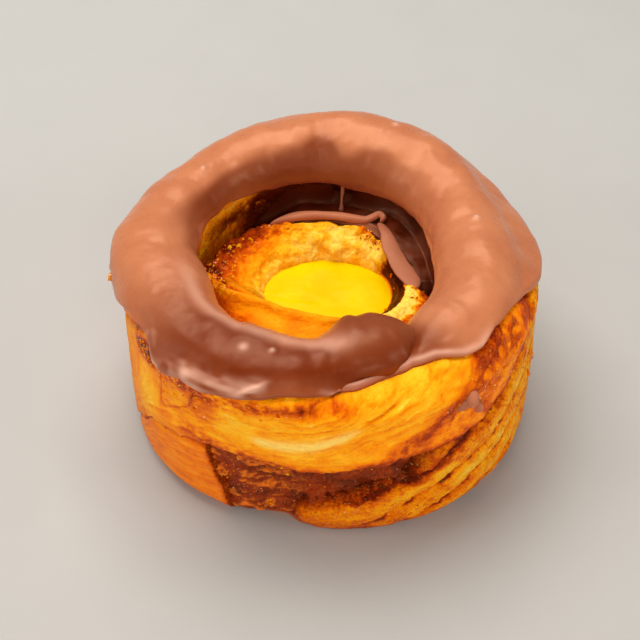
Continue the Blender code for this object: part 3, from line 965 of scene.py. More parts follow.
def icingTones(az, place, fromOuter, light):
    # tail is painted shade: on the faces turned to the front, by the crease under the free end and on the
    # inner side at the back and left; light is a painted highlight on the lower left lip, the front lip at
    # the right, the inner ridge, the curl and the bubbles
    left, aroundRope = -swing(az), np.radians(place)
    sway = 8.0 * roundNoise(az, 5.0, 1.2 * aroundRope, 216)
    topFree = mix(0.8, 0.15, window(left, 48, 54, 78, 90))
    # frontShade: painted shade on the faces turned to the front; the tops are left out, except over the free
    # end
    frontShade = window(left, 42, 58, 130, 168) * ramp(place + sway, 0, 30)
    frontShade *= 1.0 - topFree * ramp(place + sway, 100, 122)
    # under: painted shadow by the crease under the free end; inside: painted shade on the inner side at the
    # back and left
    under = bump(az, -86, 38) * bell(place - 60, 16)
    inside = np.maximum(bump(az, 104, 100), 1.1 * bump(az, 150, 56)) * ramp(place + 2.0 * sway, 112, 138)
    tail = np.clip(0.95 * frontShade + 0.35 * under + 0.8 * inside, 0, 1)
    # lip and ridge: painted highlight, streaky along the lower left lip, a band on the front lip at the right
    # and one along the inner ridge
    streaks = roundNoise(az, 7.0, 5.0 * aroundRope, 218) + 0.7 * roundNoise(az, 19.0, 12.0 * aroundRope, 219)
    lip = (0.55 + 0.8 * streaks) * window(left, 103, 109, 141, 149) * bell(fromOuter - 2.6 - 0.08 * sway, 1.9)
    lip += 0.6 * window(left, 34, 42, 84, 92) * bell(fromOuter - 1.5, 1.1)
    ridge = bell(place - 116 - 0.5 * sway, 11) * window(left, 74, 88, 146, 172)
    return tail, np.clip(light + lip + 0.5 * ridge, 0, 1)


def makeIcing():
    # a coat along the skin's normal between the two edges, closed by a hidden side in the dough
    az = np.linspace(-180, 180, icing["across"], endpoint=False)[:, None]
    outerEdge, innerEdge = icingEdge(az), icingInner(az)
    # rows gather at the two lips
    t = np.linspace(0, 1, icing["rowsOut"])[None, :]
    t -= 0.55 * np.sin(2 * np.pi * t) / (2 * np.pi)
    place = outerEdge + (innerEdge - outerEdge) * t
    fromOuter = (place - outerEdge) * ring["placeStep"]
    near = np.minimum(fromOuter, (innerEdge - place) * 0.19)
    coat, light = icingCoat(az, place, fromOuter, near)
    radius, height = skinPoint(az, place, 0.0, 0.55, 1.5)
    slopeR, slopeZ = sectionSlope(radius, height)
    radius += coat * slopeZ
    height -= coat * slopeR
    back = np.linspace(1, 0, icing["rowsIn"] + 2)[None, 1:-1]
    backR, backZ = skinPoint(az, outerEdge + (innerEdge - outerEdge) * back, -0.9, 0.3, 1.2)
    grid = cylinder(az, joined(radius, backR), joined(height, backZ))
    # tail is painted shade and light is painted highlight, both carried to the material as marks
    tail, light = icingTones(az, place, fromOuter, light)
    marks = {"edge": np.clip(near / 6.0, 0, 1), "tail": tail, "light": light}
    marks = {key: joined(value, 0 * backR) for key, value in marks.items()}
    return bandPiece("milk_chocolate_icing", grid, marks)


milkIcing = makeIcing()
report("icing")

# custard in the basin, set with a soft skin


custardShape = {
    "across": 260,
    "rows": 70,
    "level": 28.35,        # height of its middle
    "rimLevel": 28.2,      # height at which the bowl's radius is read for its rim
    "overlap": 1.5,        # how far it reaches into the dough
    "hidden": [(1.0, 26.6), (0.86, 22.0), (0.58, 17.6), (0.3, 16.3)],    # (share of the rim, height)
    "floor": 16.2,
}


def makeCustard():
    # a shallow dome with a fold across its left and small dimples, over a hidden body down the bowl
    level = custardShape["level"]
    az = np.linspace(-180, 180, custardShape["across"], endpoint=False)[:, None]
    share = np.sin(np.linspace(0.04, 1.0, custardShape["rows"]) * np.pi / 2)[None, :]
    rim = basinRadius(az, custardShape["rimLevel"]) + custardShape["overlap"]
    rim = rim + 0.5 * roundNoise(az, 3, 0.5, 301)
    radius = rim * share
    x, y = (radius * part for part in compass(az))
    height = level - 0.9 * share ** 4 + 0.32 * softNoise(x * 0.16, y * 0.16, 1.0, 302)
    height += 0.05 * softNoise(x * 0.5, y * 0.5, 2.0, 303)
    height -= 0.35 * bell(y - 0.5 + 0.12 * x, 0.9) * window(x, -14, -6, -4, 1)
    for narrowed, down in custardShape["hidden"]:
        radius = np.append(radius, rim * narrowed, 1)
        height = np.append(height, 0 * rim + down, 1)
    floor = (0, 0, custardShape["floor"])
    return domePiece("custard_fill", cylinder(az, radius, height), (0, 0, level), floor)


custardFill = makeCustard()
report("custard")

# dark chocolate in the gutter, with the loose icing that lies and hangs there

pool = {
    "from": -8, "to": 128,     # angles
    "across": 420,
    "along": 96,
    "level": 33.6,
    "under": 14,               # rows of the hidden underside
    "wallKey": 14,             # the section's key point up to which it climbs the ring
}


def makePool():
    # from the crest of the lower turn, where it stands up as a lip, over the gutter and up the ring
    az = np.linspace(pool["from"], pool["to"], pool["across"])[:, None]
    t = np.linspace(0, 1, pool["along"])[None, :]
    wallR, wallZ = innerKeys(az[:, 0])[:, pool["wallKey"]].T[..., None]
    crestR, crestZ = crestPoint(az)
    floor = gutterFloor(az)
    startR = crestR + mix(0.6, 1.4, bump(az, 80, 44)) - 0.4 * softNoise(az * 0.11, 1.0, 2.0, 401)
    endR = wallR + 0.9
    radius = startR + (endR - startR) * t
    level = pool["level"] + 1.5 * bump(az, 40, 50)
    lip = 0.9 * bell(t - 0.17, 0.10) * window(az, 48, 62, 98, 112)
    rise = (wallZ - 2.0 - level) * np.clip((t - 0.72) / 0.28, 0, 1) ** 2
    rise *= 0.45 + 0.55 * ramp(softNoise(az * 0.10, 2.0, 5.0, 402) + 0.3, -0.3, 0.5)
    x, y = (radius * part for part in compass(az))
    height = mix(crestZ - 0.2, level, ramp(t, 0.0, 0.30)) + lip + rise
    height += 0.5 * softNoise(x * 0.22, y * 0.22, 3.0, 403)
    height += 0.06 * softNoise(x * 0.7, y * 0.7, 1.0, 404)
    height = mix(floor + 0.4, height, window(az, -8, 6, 98, 128))
    # underside: a little below the dough, hidden
    back = np.linspace(1, 0, pool["under"])[None, 1:-1]
    backR = startR + 0.3 + (endR + 0.6 - startR) * back
    backZ = floor - 1.0 + (crestZ - 1.6 - floor) * ramp(back, 0.35, 0.0)
    backZ = np.minimum(backZ + 0.6 * (wallZ - 3.0 - floor) * ramp(back, 0.8, 1.0), 40.0)
    grid = cylinder(az, joined(radius, backR), joined(height, backZ))
    milky = 0.5 * ramp(0.30 - t, 0, 0.22) * ramp(az, 48, 62)
    milky += 0.12 * ramp(softNoise(x * 0.16, y * 0.16, 4.0, 405), 0.2, 0.6)
    return sweepPiece("chocolate_pool", grid, {"milky": joined(milky, 0 * backR)})


looseIcing = {
    # each a path with half widths along it, half its thickness, rows, points round it and milkiness
    "chocolate_ribbon": {
        "path": [
            (14.8, 21.2, 35.6), (16.4, 17.4, 35.8), (17.6, 12.8, 35.2), (19.2, 8.8, 34.6), (20.9, 5.2, 34.2),
            (22.8, 1.6, 34.2), (23.8, -0.6, 34.0)],
        "widths": [0.9, 1.5, 2.1, 2.5, 2.6, 2.1, 0.9], "thick": 0.5, "rows": 150, "around": 48, "seed": 501,
        "milky": 0.75,
    },
    "chocolate_lip": {
        "path": [
            (-13.3, 22.2, 34.0), (-9.9, 23.3, 34.8), (-6.5, 23.8, 35.4), (-3.0, 24.0, 35.6),
            (0.8, 23.9, 35.7), (4.8, 23.7, 35.6), (8.3, 23.0, 35.4), (11.3, 22.5, 35.4),
            (13.5, 23.1, 36.0), (15.0, 23.5, 36.5), (16.1, 22.4, 36.3), (15.2, 21.5, 35.6)],
        "widths": [0.5, 1.0, 1.4, 1.3, 1.1, 1.2, 1.2, 1.1, 1.0, 0.9, 0.8, 0.5], "thick": 1.0, "rows": 260,
        "around": 32, "seed": 502, "milky": 1.0,
    },
    "chocolate_thread": {
        "path": [
            (5.7, 31.4, 42.0), (5.6, 30.4, 40.0), (5.4, 29.4, 37.6), (5.3, 28.6, 35.6), (5.2, 27.8, 33.6)],
        "widths": [1.3, 0.62, 0.36, 0.36, 0.9], "thick": 0.42, "rows": 60, "around": 16, "seed": 503,
        "milky": 1.0,
    },
}


def unitRows(rows):
    # every vector brought to length one
    return rows / np.maximum(np.linalg.norm(rows, axis=1, keepdims=True), 1e-6)


def ribbonPiece(name, path, widths, thick, rows, around, seed, milky):
    # an uneven ellipse carried along a spline and rounded off at both ends
    middle = splineRows(np.array(path, float), np.linspace(0, len(path) - 1, rows))
    t = np.linspace(0, 1, rows)[:, None]
    half = np.interp(t, np.linspace(0, 1, len(widths)), widths)
    tip = np.sqrt(np.clip(1.0 - (np.abs(t - 0.5) * 2.0) ** 10, 0, 1)) * 0.98 + 0.02
    x, y = compass(np.linspace(0, 360, around, endpoint=False)[None, :])
    uneven = tip * (1.0 + 0.10 * softNoise(t * 7.0, x * 0.9, y * 0.9, seed))
    step = unitRows(np.gradient(middle, axis=0))
    side = unitRows(np.cross(step, [0.0, 0.0, 1.0]))
    lift = np.cross(side, step)
    grid = middle[:, None] + (half * uneven * x)[..., None] * side[:, None]
    grid += (thick * uneven * y)[..., None] * lift[:, None]
    return sweepPiece(name, grid, {"milky": np.full((rows, around), milky)})


chocolatePool = makePool()
ribbon, lip, thread = (ribbonPiece(name, **shape) for name, shape in looseIcing.items())
report("chocolate in the gutter")


seamShape = {
    "from": -127, "to": -56,   # angles
    "across": 440,
    "along": 92,
    "back": 8,                 # rows of the hidden back
    "backDepth": 5.5,          # millimetres that the back lies deeper than the recess
    "meanRadius": 48.0,        # of the cylinder on which its noise is laid
}


def makeSeam():
    # crumbly filling in the open seam of the wall: gold crumb in layers at the left, chocolate at the right
    az = np.linspace(seamShape["from"], seamShape["to"], seamShape["across"])[:, None]
    t = np.linspace(0, 1, seamShape["along"])[None, :]
    top = lineHeight("frontCrease", az) + 1.2
    low = np.maximum(lineHeight("lowerTop", az, 0.6, 110.0) - 1.5, 0.6 + 4.4 * bump(az, -101, 12))
    height = low + (top - low) * t
    x, y = (seamShape["meanRadius"] * part for part in compass(az))
    slant = height - 0.10 * (az + 100)
    coarse = layeredNoise(x / 4.2, y / 4.2, slant / 1.9, 601, 2, 0.6)
    fine = layeredNoise(x / 1.3, y / 1.3, slant / 1.0, 602, 3, 0.62)
    shelf = ridgeNoise(x / 7.0, y / 7.0, slant / 2.4, 603) - 0.6
    open1 = window(t, 0.0, 0.08, 0.94, 1.0) * window(az, -126.5, -124, -68, -58)
    depth = seamDepth(az) - 1.0 + ramp(az, -116, -104)
    radius = wallRadius(az, height) - mix(1.0, depth, ramp(np.abs(t - 0.5), 0.5, 0.35))
    radius += (0.9 * coarse + 0.35 * fine + 0.9 * shelf) * open1 - 2.2 * (1.0 - open1)
    left = 1.0 - ramp(az, -106, -92)
    gold = left * ramp(coarse + 0.5 * fine + 0.5 * shelf, -0.02, 0.32)
    gold += (1 - left) * 0.5 * ramp(coarse + 0.4 * fine, 0.42, 0.7)
    gold = gold * (1.0 - 0.8 * ramp(az, -96, -86)) + 0.45 * bell(t - 0.96, 0.08)
    back = np.linspace(1, 0, seamShape["back"])[None, 1:-1]
    backZ = low + (top - low) * back
    backR = wallRadius(az, backZ) - seamDepth(az) - seamShape["backDepth"]
    grid = cylinder(az, joined(radius, backR), joined(height, backZ))
    return sweepPiece("seam_chocolate", grid, {"gold": joined(np.clip(gold, 0, 1), 0 * backR)})


seamChocolate = makeSeam()
report("seam")

# what fell or ran on the crust: drips, flakes of crust, crystals of sugar

dripRadius = 52.0    # of the wall where they hang
dripShapes = {
    # angle, height, half width, half height, thickness, lean, seed, milkiness
    "icing_drip_upper": (-50.6, 41.2, 1.6, 2.3, 2.4, 0.10, 701, 1.0),
    "icing_drip_left": (-52.7, 40.2, 1.5, 1.5, 0.9, 0.30, 705, 0.8),
    "icing_drip_lower": (-47.9, 36.8, 0.95, 1.7, 1.6, 0.10, 702, 1.0),
}


def onWall(az, z, lift):
    # points of the plain wall, moved outwards by lift
    return cylinder(az, wallRadius(az, z) + lift, z)


def dripPiece(name, az, z, halfAcross, halfUp, thick, lean, seed, milky):
    # a set drop of icing on the wall: an uneven ellipse with a rounded cap, reaching into the dough
    turn = np.linspace(0, 360, 60, endpoint=False)[:, None]
    share = np.sin(np.linspace(0.05, 1.0, 26) * np.pi / 2)[None, :]
    edge = share * (1.0 + 0.16 * roundNoise(turn, 1.3, 0.5, seed))
    x, y = compass(turn)
    up = halfUp * edge * y
    side = halfAcross * edge * x + lean * up
    cap = thick * np.clip(1.0 - share ** 2.2, 0, 1) ** 0.65
    cap = cap * (1.0 + 0.3 * softNoise(side * 0.8, up * 0.8, 1.0, seed + 1))
    place = az + np.degrees(side / dripRadius)
    front = onWall(place, z + up, 0.15 + cap)
    behind = onWall(place[:, -1:], z + 0.98 * up[:, -1:], -1.5)
    grid = joined(front, behind)
    marks = {"milky": np.full(grid.shape[:2], milky)}
    return domePiece(name, grid, onWall(az, z, 0.15 + thick), onWall(az, z, -1.5), marks)


drips = [dripPiece(name, *shape) for name, shape in dripShapes.items()]


def chipsPiece(name, places, sizes, seed, flat, bake):
    # many grains in one mesh: each is a small uneven ball, squashed and turned at random
    random = np.random.default_rng(seed)
    count, rings, sectors = len(places), 5, 8
    upright = np.linspace(90, -90, rings + 2)[1:-1, None]
    radius, height = compass(upright)
    ball = cylinder(np.linspace(0, 360, sectors, endpoint=False), radius, height).reshape(-1, 3)
    ball = np.concatenate([ball, [[0, 0, 1]], [[0, 0, -1]]])
    spin = np.linalg.qr(random.normal(size=(count, 3, 3)))[0]
    spin *= np.sign(np.linalg.det(spin))[:, None, None]
    wide, deep = random.uniform(0.7, 1.3, count), random.uniform(0.6, 1.1, count)
    shape = np.stack([wide, deep, random.uniform(0.7, 1.2, count) * flat], -1)
    jitter = 1.0 + random.uniform(-0.22, 0.22, (count, len(ball), 1))
    points = ball[None] * shape[:, None] * jitter * sizes[:, None, None]
    points = (np.einsum("nij,nkj->nki", spin, points) + places[:, None]).reshape(-1, 3)
    rim = np.arange(sectors)
    top = fanFaces(rim, rings * sectors)[:, ::-1]
    low = fanFaces(rim + (rings - 1) * sectors, rings * sectors + 1)
    step = np.arange(count)[:, None, None] * len(ball)
    quads = (gridFaces(rings, sectors, False, True)[None] + step).reshape(-1, 4)
    fans = (np.concatenate([top, low])[None] + step).reshape(-1, 3)
    tone = np.repeat(np.clip(bake + random.normal(0, 0.12, count), 0.12, 0.62), len(ball))
    zero = np.zeros(len(tone))
    marks = {"bake": tone, "dark": zero, "pale": zero, "rough": zero + 0.8, "flow": points * 0.5}
    return makePiece(name, points, quads, fans, marks)


def landOn(piece, starts, ways):
    # where rays from the starts meet a piece; misses are left out
    found = []
    for start, way in zip(starts, ways):
        hit, place, _, _ = piece.ray_cast(Vector(start) * mm, Vector(way).normalized())
        if hit:
            found.append(np.array(place) / mm)
    return np.array(found).reshape(-1, 3)


crumbs = {
    # scattered from the side: (piece, from angle, to angle, from height, to height, count, size)
    "wall": [
        ("seam", -119, -96, 6, 25, 80, 0.75), ("seam", -96, -66, 13, 26, 46, 0.6),
        ("wall", -141, -118, 33, 43, 46, 1.0), ("wall", -152, -141, 38.5, 44, 90, 0.8),
        ("wall", -118, -92, 42, 48, 24, 0.8), ("wall", -60, -40, 36, 46, 30, 1.0),
        ("wall", -48, -14, 14, 44, 60, 1.1), ("wall", -102, -60, 2, 12, 26, 0.8),
        ("icing", -179, -172, 41, 45, 26, 1.7), ("icing", 171, 178, 42, 44, 8, 1.4)],
    # dropped from above: (from angle, to angle, from radius, to radius, count)
    "inside": [
        (-180, -166, 24, 30, 60), (152, 180, 22, 29, 60), (108, 150, 22, 26, 44), (46, 62, 20, 25, 30),
        (-14, 24, 16, 24, 24), (-20, 4, 25, 29, 26)],
    "size": (0.20, 0.46),
    "growth": [1.0, 1.0, 1.6],     # one in three is larger
    "sugarShare": 0.50,
    "sugarSize": 0.36,         # of a crumb's
    "startRadius": 62.0,
    "startHeight": 41.0,
}


def scatterCrumbs():
    # random places on the pieces, split by chance into crumbs and crystals
    bpy.context.view_layer.update()
    random = np.random.default_rng(900)
    pieces = {"seam": seamChocolate, "wall": pastryWall, "icing": milkIcing}
    found, factors = [], []
    for name, fromAz, toAz, fromZ, toZ, count, size in crumbs["wall"]:
        az, z = random.uniform(fromAz, toAz, count), random.uniform(fromZ, toZ, count)
        found.append(landOn(pieces[name], cylinder(az, crumbs["startRadius"], z), -cylinder(az, 1.0, 0.0)))
        factors += [size] * len(found[-1])
    for fromAz, toAz, fromR, toR, count in crumbs["inside"]:
        az, radius = random.uniform(fromAz, toAz, count), random.uniform(fromR, toR, count)
        down = np.tile([0.0, 0.0, -1.0], (count, 1))
        found.append(landOn(pastryInside, cylinder(az, radius, crumbs["startHeight"]), down))
        factors += [1.0] * len(found[-1])
    places = np.concatenate(found)
    sparkling = random.random(len(places)) < crumbs["sugarShare"]
    sizes = random.uniform(*crumbs["size"], len(places))
    sizes *= random.choice(crumbs["growth"], len(places)) * factors
    flakes = chipsPiece("crust_crumbs", places[~sparkling], sizes[~sparkling], 901, 0.55, 0.40)
    small = crumbs["sugarSize"] * sizes[sparkling]
    return flakes, chipsPiece("sugar_crystals", places[sparkling], small, 902, 0.8, 0.0)


crustCrumbs, sugarCrystals = scatterCrumbs()
report("drips and crumbs")

# colours: sRGB as seen, turned into the light values that shaders use


def paint(red, green, blue):
    # the sRGB curve undone: a straight piece near black, a power of 2.4 above it
    part = np.array([red, green, blue]) / 255.0
    linear = np.where(part <= 0.04045, part / 12.92, ((part + 0.055) / 1.055) ** 2.4)
    return (*linear, 1.0)


class NodeSheet:
    # a short way to lay nodes out in a tree and join them

    def __init__(self, tree):
        self.tree = tree
        self.column = 0

    def feed(self, socket, value):
        # a link where the value is a node's output, else a constant
        if isinstance(value, bpy.types.NodeSocket):
            self.tree.links.new(value, socket)
        else:
            socket.default_value = value

    def add(self, kind, links=None, **settings):
        # a node beside the last one, with its settings and with its inputs fed
        node = self.tree.nodes.new(kind)
        node.location = (self.column * 190, -(self.column % 5) * 150)
        self.column += 1
        for key, value in settings.items():
            setattr(node, key, value)
        for key, value in (links or {}).items():
            self.feed(node.inputs[key], value)
        return node

    def maths(self, operation, a, b, clamp=False):
        # two values put together by the operation
        return self.add("ShaderNodeMath", {0: a, 1: b}, operation=operation, use_clamp=clamp).outputs[0]

    def plus(self, a, b, clamp=False):
        # their sum
        return self.maths("ADD", a, b, clamp)

    def times(self, a, b):
        # their product
        return self.maths("MULTIPLY", a, b)

    def minus(self, a, b):
        # the first less the second
        return self.maths("SUBTRACT", a, b)

    def swayed(self, value, by, share):
        # value moved up and down by a noise about its middle
        return self.plus(value, self.times(self.minus(by, 0.5), share))

    def blend(self, share, a, b):
        # a colour between a and b; these inputs and this output are the mix node's own for colours
        return self.add("ShaderNodeMix", {0: share, 6: a, 7: b}, data_type="RGBA").outputs[2]

    def stretch(self, value, low, high, toLow=0.0, toHigh=1.0):
        # value eased from between low and high to between toLow and toHigh
        links = {0: value, 1: low, 2: high, 3: toLow, 4: toHigh}
        return self.add("ShaderNodeMapRange", links, interpolation_type="SMOOTHSTEP").outputs[0]

    def noise(self, vector, scale, detail=3.0, roughness=0.55):
        # fractal noise, 0..1
        links = {"Vector": vector, "Scale": scale, "Detail": detail, "Roughness": roughness}
        return self.add("ShaderNodeTexNoise", links).outputs[0]

    def place(self):
        # the point in the piece's own frame, in metres
        return self.add("ShaderNodeTexCoord").outputs["Object"]

    def attribute(self, name, output="Fac"):
        # a value that the mesh carries
        return self.add("ShaderNodeAttribute", attribute_name=name).outputs[output]

    def ramp(self, value, stops):
        # the colour at value between stops, each a place and its colour
        node = self.add("ShaderNodeValToRGB", {0: value})
        elements = node.color_ramp.elements
        while len(elements) < len(stops):
            elements.new(0.5)
        for element, (at, colour) in zip(elements, stops):
            element.position = at
            element.color = colour
        return node.outputs[0]

    def useGroup(self, group, scale=1.0):
        # the three values that a group gives at a scale
        node = self.add("ShaderNodeGroup", node_tree=group)
        node.inputs["Scale"].default_value = scale
        return node.outputs[:3]


def crumbGrain(sheet, vector):
    # grain in millimetres: fine grit, pores and soft patches, each 0..1
    links = {"Vector": vector, "Scale": 900.0, "Randomness": 1.0}
    cells = sheet.add("ShaderNodeTexVoronoi", links, feature="SMOOTH_F1").outputs[0]
    return {
        "Grit": sheet.noise(vector, 1400.0, 4.0, 0.65),
        "Pores": sheet.stretch(cells, 0.15, 0.55),
        "Patches": sheet.noise(vector, 170.0, 3.0, 0.6),
    }


def setSurface(sheet, vector):
    # a set sweet surface: soft unevenness for the bump and small changes of shine
    broad = sheet.noise(vector, 200.0, 1.0, 0.4)
    fine = sheet.noise(vector, 1500.0, 3.0, 0.6)
    return {
        "Height": sheet.plus(sheet.times(broad, 0.6), sheet.times(fine, 0.06)),
        "Shine": sheet.stretch(sheet.noise(vector, 420.0, 3.0, 0.6), 0.3, 0.7),
        "Cloud": sheet.stretch(sheet.noise(vector, 95.0, 3.0, 0.55), 0.3, 0.7),
    }


def nodeGroup(name, build):
    # a group with a scale going in and the values that build makes of the scaled place coming out
    tree = bpy.data.node_groups.new(name, "ShaderNodeTree")
    tree.interface.new_socket("Scale", in_out="INPUT", socket_type="NodeSocketFloat").default_value = 1.0
    sheet = NodeSheet(tree)
    links = {0: sheet.place(), "Scale": sheet.add("NodeGroupInput").outputs["Scale"]}
    values = build(sheet, sheet.add("ShaderNodeVectorMath", links, operation="SCALE").outputs[0])
    result = sheet.add("NodeGroupOutput")
    for label, value in values.items():
        tree.interface.new_socket(label, in_out="OUTPUT", socket_type="NodeSocketFloat")
        tree.links.new(value, result.inputs[label])
    return tree


crumbGroup = nodeGroup("CrumbGrain", crumbGrain)
surfaceGroup = nodeGroup("SetSurface", setSurface)


def newMaterial(name):
    # an empty material and the sheet for its nodes
    material = bpy.data.materials.new(name)
    material.use_nodes = True
    return material, NodeSheet(material.node_tree)


def finish(material, sheet, colour, roughness, dent, constants):
    # feeds the material's shader; dent is a height with the strength and reach of its bump
    inputs = material.node_tree.nodes["Principled BSDF"].inputs
    sheet.feed(inputs["Base Color"], colour)
    sheet.feed(inputs["Roughness"], roughness)
    if dent:
        links = dict(zip(("Height", "Strength", "Distance"), dent))
        sheet.feed(inputs["Normal"], sheet.add("ShaderNodeBump", links).outputs[0])
    for label, value in constants.items():
        inputs[label].default_value = value
    return material


pastryColours = {
    # from barely baked crumb to scorched crust
    "bake": [
        (0.0, paint(255, 212, 90)), (0.16, paint(255, 184, 30)), (0.34, paint(250, 150, 6)),
        (0.50, paint(236, 116, 4)), (0.68, paint(204, 78, 6)), (0.84, paint(158, 46, 6)),
        (1.0, paint(104, 24, 5))],
    "pale": paint(255, 214, 110),
    "dark": paint(84, 22, 4),
    # painted glints: bright specks where the crust is rough
    "paintedGlint": paint(255, 196, 96),
    "tint": paint(255, 170, 60),
}


def pastryMaterial():
    # browning picks the colour, thin layers and grit vary it, chocolate stains cover it, and painted glints
    # dot the rough crust
    material, sheet = newMaterial("baked_layers")
    grit, pores, patches = sheet.useGroup(crumbGroup)
    flow = sheet.attribute("flow", "Vector")
    bake, dark, pale, rough = (sheet.attribute(key) for key in ("bake", "dark", "pale", "rough"))
    layers = sheet.noise(flow, 0.62, 4.0, 0.62)
    threads = sheet.noise(flow, 2.0, 3.0, 0.62)
    tone = sheet.swayed(sheet.swayed(bake, layers, 0.46), threads, 0.20)
    tone = sheet.swayed(sheet.swayed(tone, grit, sheet.times(rough, 0.7)), patches, 0.30)
    tone = sheet.plus(tone, sheet.times(dark, 0.6), True)
    colour = sheet.ramp(tone, pastryColours["bake"])
    colour = sheet.blend(sheet.times(pale, 0.8), colour, pastryColours["pale"])
    stain = sheet.stretch(sheet.swayed(dark, grit, sheet.times(dark, 1.2)), 0.12, 0.85)
    colour = sheet.blend(stain, colour, pastryColours["dark"])
    # painted glints on the grit where the crust is rough
    glintSpecks = sheet.times(sheet.stretch(grit, 0.60, 0.72), sheet.times(rough, 0.6))
    colour = sheet.blend(glintSpecks, colour, pastryColours["paintedGlint"])
    gloss = sheet.stretch(sheet.plus(bake, sheet.times(grit, 0.3)), 0.3, 1.1, 0.52, 0.32)
    gloss = sheet.minus(gloss, sheet.times(dark, 0.08))
    height = sheet.plus(sheet.times(layers, 0.8), sheet.times(threads, 0.3))
    height = sheet.plus(height, sheet.times(sheet.plus(grit, sheet.times(pores, -0.5)), rough))
    specular = {"Specular IOR Level": 0.18, "Specular Tint": pastryColours["tint"]}
    return finish(material, sheet, colour, gloss, (height, 1.0, 0.0009), specular)


icingColours = {
    "brown": (paint(178, 106, 71), paint(188, 117, 80)),
    # tail: the colour of painted shade
    "tail": paint(107, 36, 3),
    "edge": paint(190, 104, 64),
    # light: the colour of painted highlight
    "light": paint(218, 168, 146),
    "tint": paint(255, 196, 156),
}


def icingMaterial():
    # milk chocolate: warm pinkish brown, a touch more orange at its thin edges, with painted shade from tail
    # and painted highlight from light
    material, sheet = newMaterial("milk_chocolate_icing")
    height, shine, cloud = sheet.useGroup(surfaceGroup)
    edge, tail, light = (sheet.attribute(key) for key in ("edge", "tail", "light"))
    colour = sheet.blend(cloud, *icingColours["brown"])
    # painted shade on the front, by the crease under the free end and on the inner side
    colour = sheet.blend(tail, colour, icingColours["tail"])
    colour = sheet.blend(sheet.times(sheet.minus(1.0, edge), 0.35), colour, icingColours["edge"])
    # painted highlight on the lips, the ridge, the curl and the bubbles
    colour = sheet.blend(sheet.times(light, 0.8), colour, icingColours["light"])
    gloss = sheet.plus(sheet.stretch(shine, 0.0, 1.0, 0.26, 0.36), sheet.times(tail, 0.06))
    specular = {
        "Coat Weight": 0.08, "Coat Roughness": 0.35,
        "Specular Tint": icingColours["tint"], "Specular IOR Level": 0.30,
    }
    return finish(material, sheet, colour, gloss, (height, 0.5, 0.0008), specular)


seamColours = {
    "chocolate": (paint(82, 17, 1), paint(148, 47, 4)),
    "gold": paint(222, 108, 10),
    # painted glints on the grit
    "paintedGlint": paint(240, 160, 80),
    "tint": paint(255, 190, 140),
}


def seamMaterial():
    # crumbs stuck together with chocolate; gold where baked layers show through; painted glints on the grit
    material, sheet = newMaterial("seam_chocolate")
    grit, pores, patches = sheet.useGroup(crumbGroup, 0.8)
    mixed = sheet.plus(sheet.times(grit, 0.4), sheet.times(patches, 0.6))
    colour = sheet.blend(sheet.stretch(mixed, 0.36, 0.62), *seamColours["chocolate"])
    crumbly = sheet.stretch(sheet.plus(grit, sheet.times(patches, 0.4)), 0.45, 0.85, 0.25, 1.0)
    colour = sheet.blend(sheet.times(sheet.attribute("gold"), crumbly), colour, seamColours["gold"])
    # painted glints
    colour = sheet.blend(sheet.times(sheet.stretch(grit, 0.66, 0.76), 0.4), colour, seamColours["paintedGlint"])
    gloss = sheet.stretch(pores, 0.0, 1.0, 0.18, 0.45)
    specular = {"Specular IOR Level": 0.40, "Specular Tint": seamColours["tint"]}
    return finish(material, sheet, colour, gloss, (grit, 0.8, 0.0006), specular)


sweets = {
    # two clouded colours, scale of the surface, roughness from and to, the bump's strength and reach,
    # and what else the shader is given
    "chocolate_filling": (
        paint(62, 15, 1), paint(86, 25, 3), 1.4, (0.32, 0.46), (0.25, 0.0005),
        {"Specular IOR Level": 0.30, "Specular Tint": paint(255, 190, 150)}),
    # crystals that caught some caramel: an amber tint that changes from grain to grain
    "sugar_crystals": (
        paint(244, 176, 112), paint(255, 214, 170), 3.0, (0.10, 0.30), (0.4, 0.0003), {}),
    # clear egg yellow with a soft shine
    "custard": (
        paint(230, 182, 0), paint(240, 199, 1), 0.8, (0.26, 0.40), (0.3, 0.0006),
        {"Specular IOR Level": 0.12, "Specular Tint": paint(255, 236, 90)}),
}
milkyColour = paint(176, 106, 76)


def sweetMaterial(name, milky=False):
    # a set surface in two clouded colours; where milky is 1, filling has about the icing's colour
    low, high, scale, shines, bumps, specular = sweets[name]
    material, sheet = newMaterial(name)
    height, shine, cloud = sheet.useGroup(surfaceGroup, scale)
    colour = sheet.blend(cloud, low, high)
    if milky:
        colour = sheet.blend(sheet.attribute("milky"), colour, milkyColour)
    gloss = sheet.stretch(shine, 0.0, 1.0, *shines)
    return finish(material, sheet, colour, gloss, (height, *bumps), specular)


pastry, milk, seam = pastryMaterial(), icingMaterial(), seamMaterial()
filling, custard = sweetMaterial("chocolate_filling", True), sweetMaterial("custard")
finishes = [
    (pastryWall, pastry, "baked_dough"), (pastryInside, pastry, "baked_dough"),
    (milkIcing, milk, "milk_chocolate_icing"), (custardFill, custard, "custard"),
    (chocolatePool, filling, "dark_chocolate"), (ribbon, filling, "dark_chocolate"),
    (lip, filling, "dark_chocolate"), (thread, filling, "milk_chocolate_icing"),
    (seamChocolate, seam, "dark_chocolate"), (crustCrumbs, pastry, "baked_dough"),
    (sugarCrystals, sweetMaterial("sugar_crystals"), "baked_dough"),
] + [(drop, filling, "milk_chocolate_icing") for drop in drips]
for piece, material, slot in finishes:
    piece.data.materials.append(material)
    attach(piece, "root")
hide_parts("pastry_coil")
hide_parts("chocolate_icing")
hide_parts("custard")
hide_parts("chocolate_filling")
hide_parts("chocolate_seam")
report("materials")

# studio: pale floor curving up behind, soft light from above and a little behind, fill in front

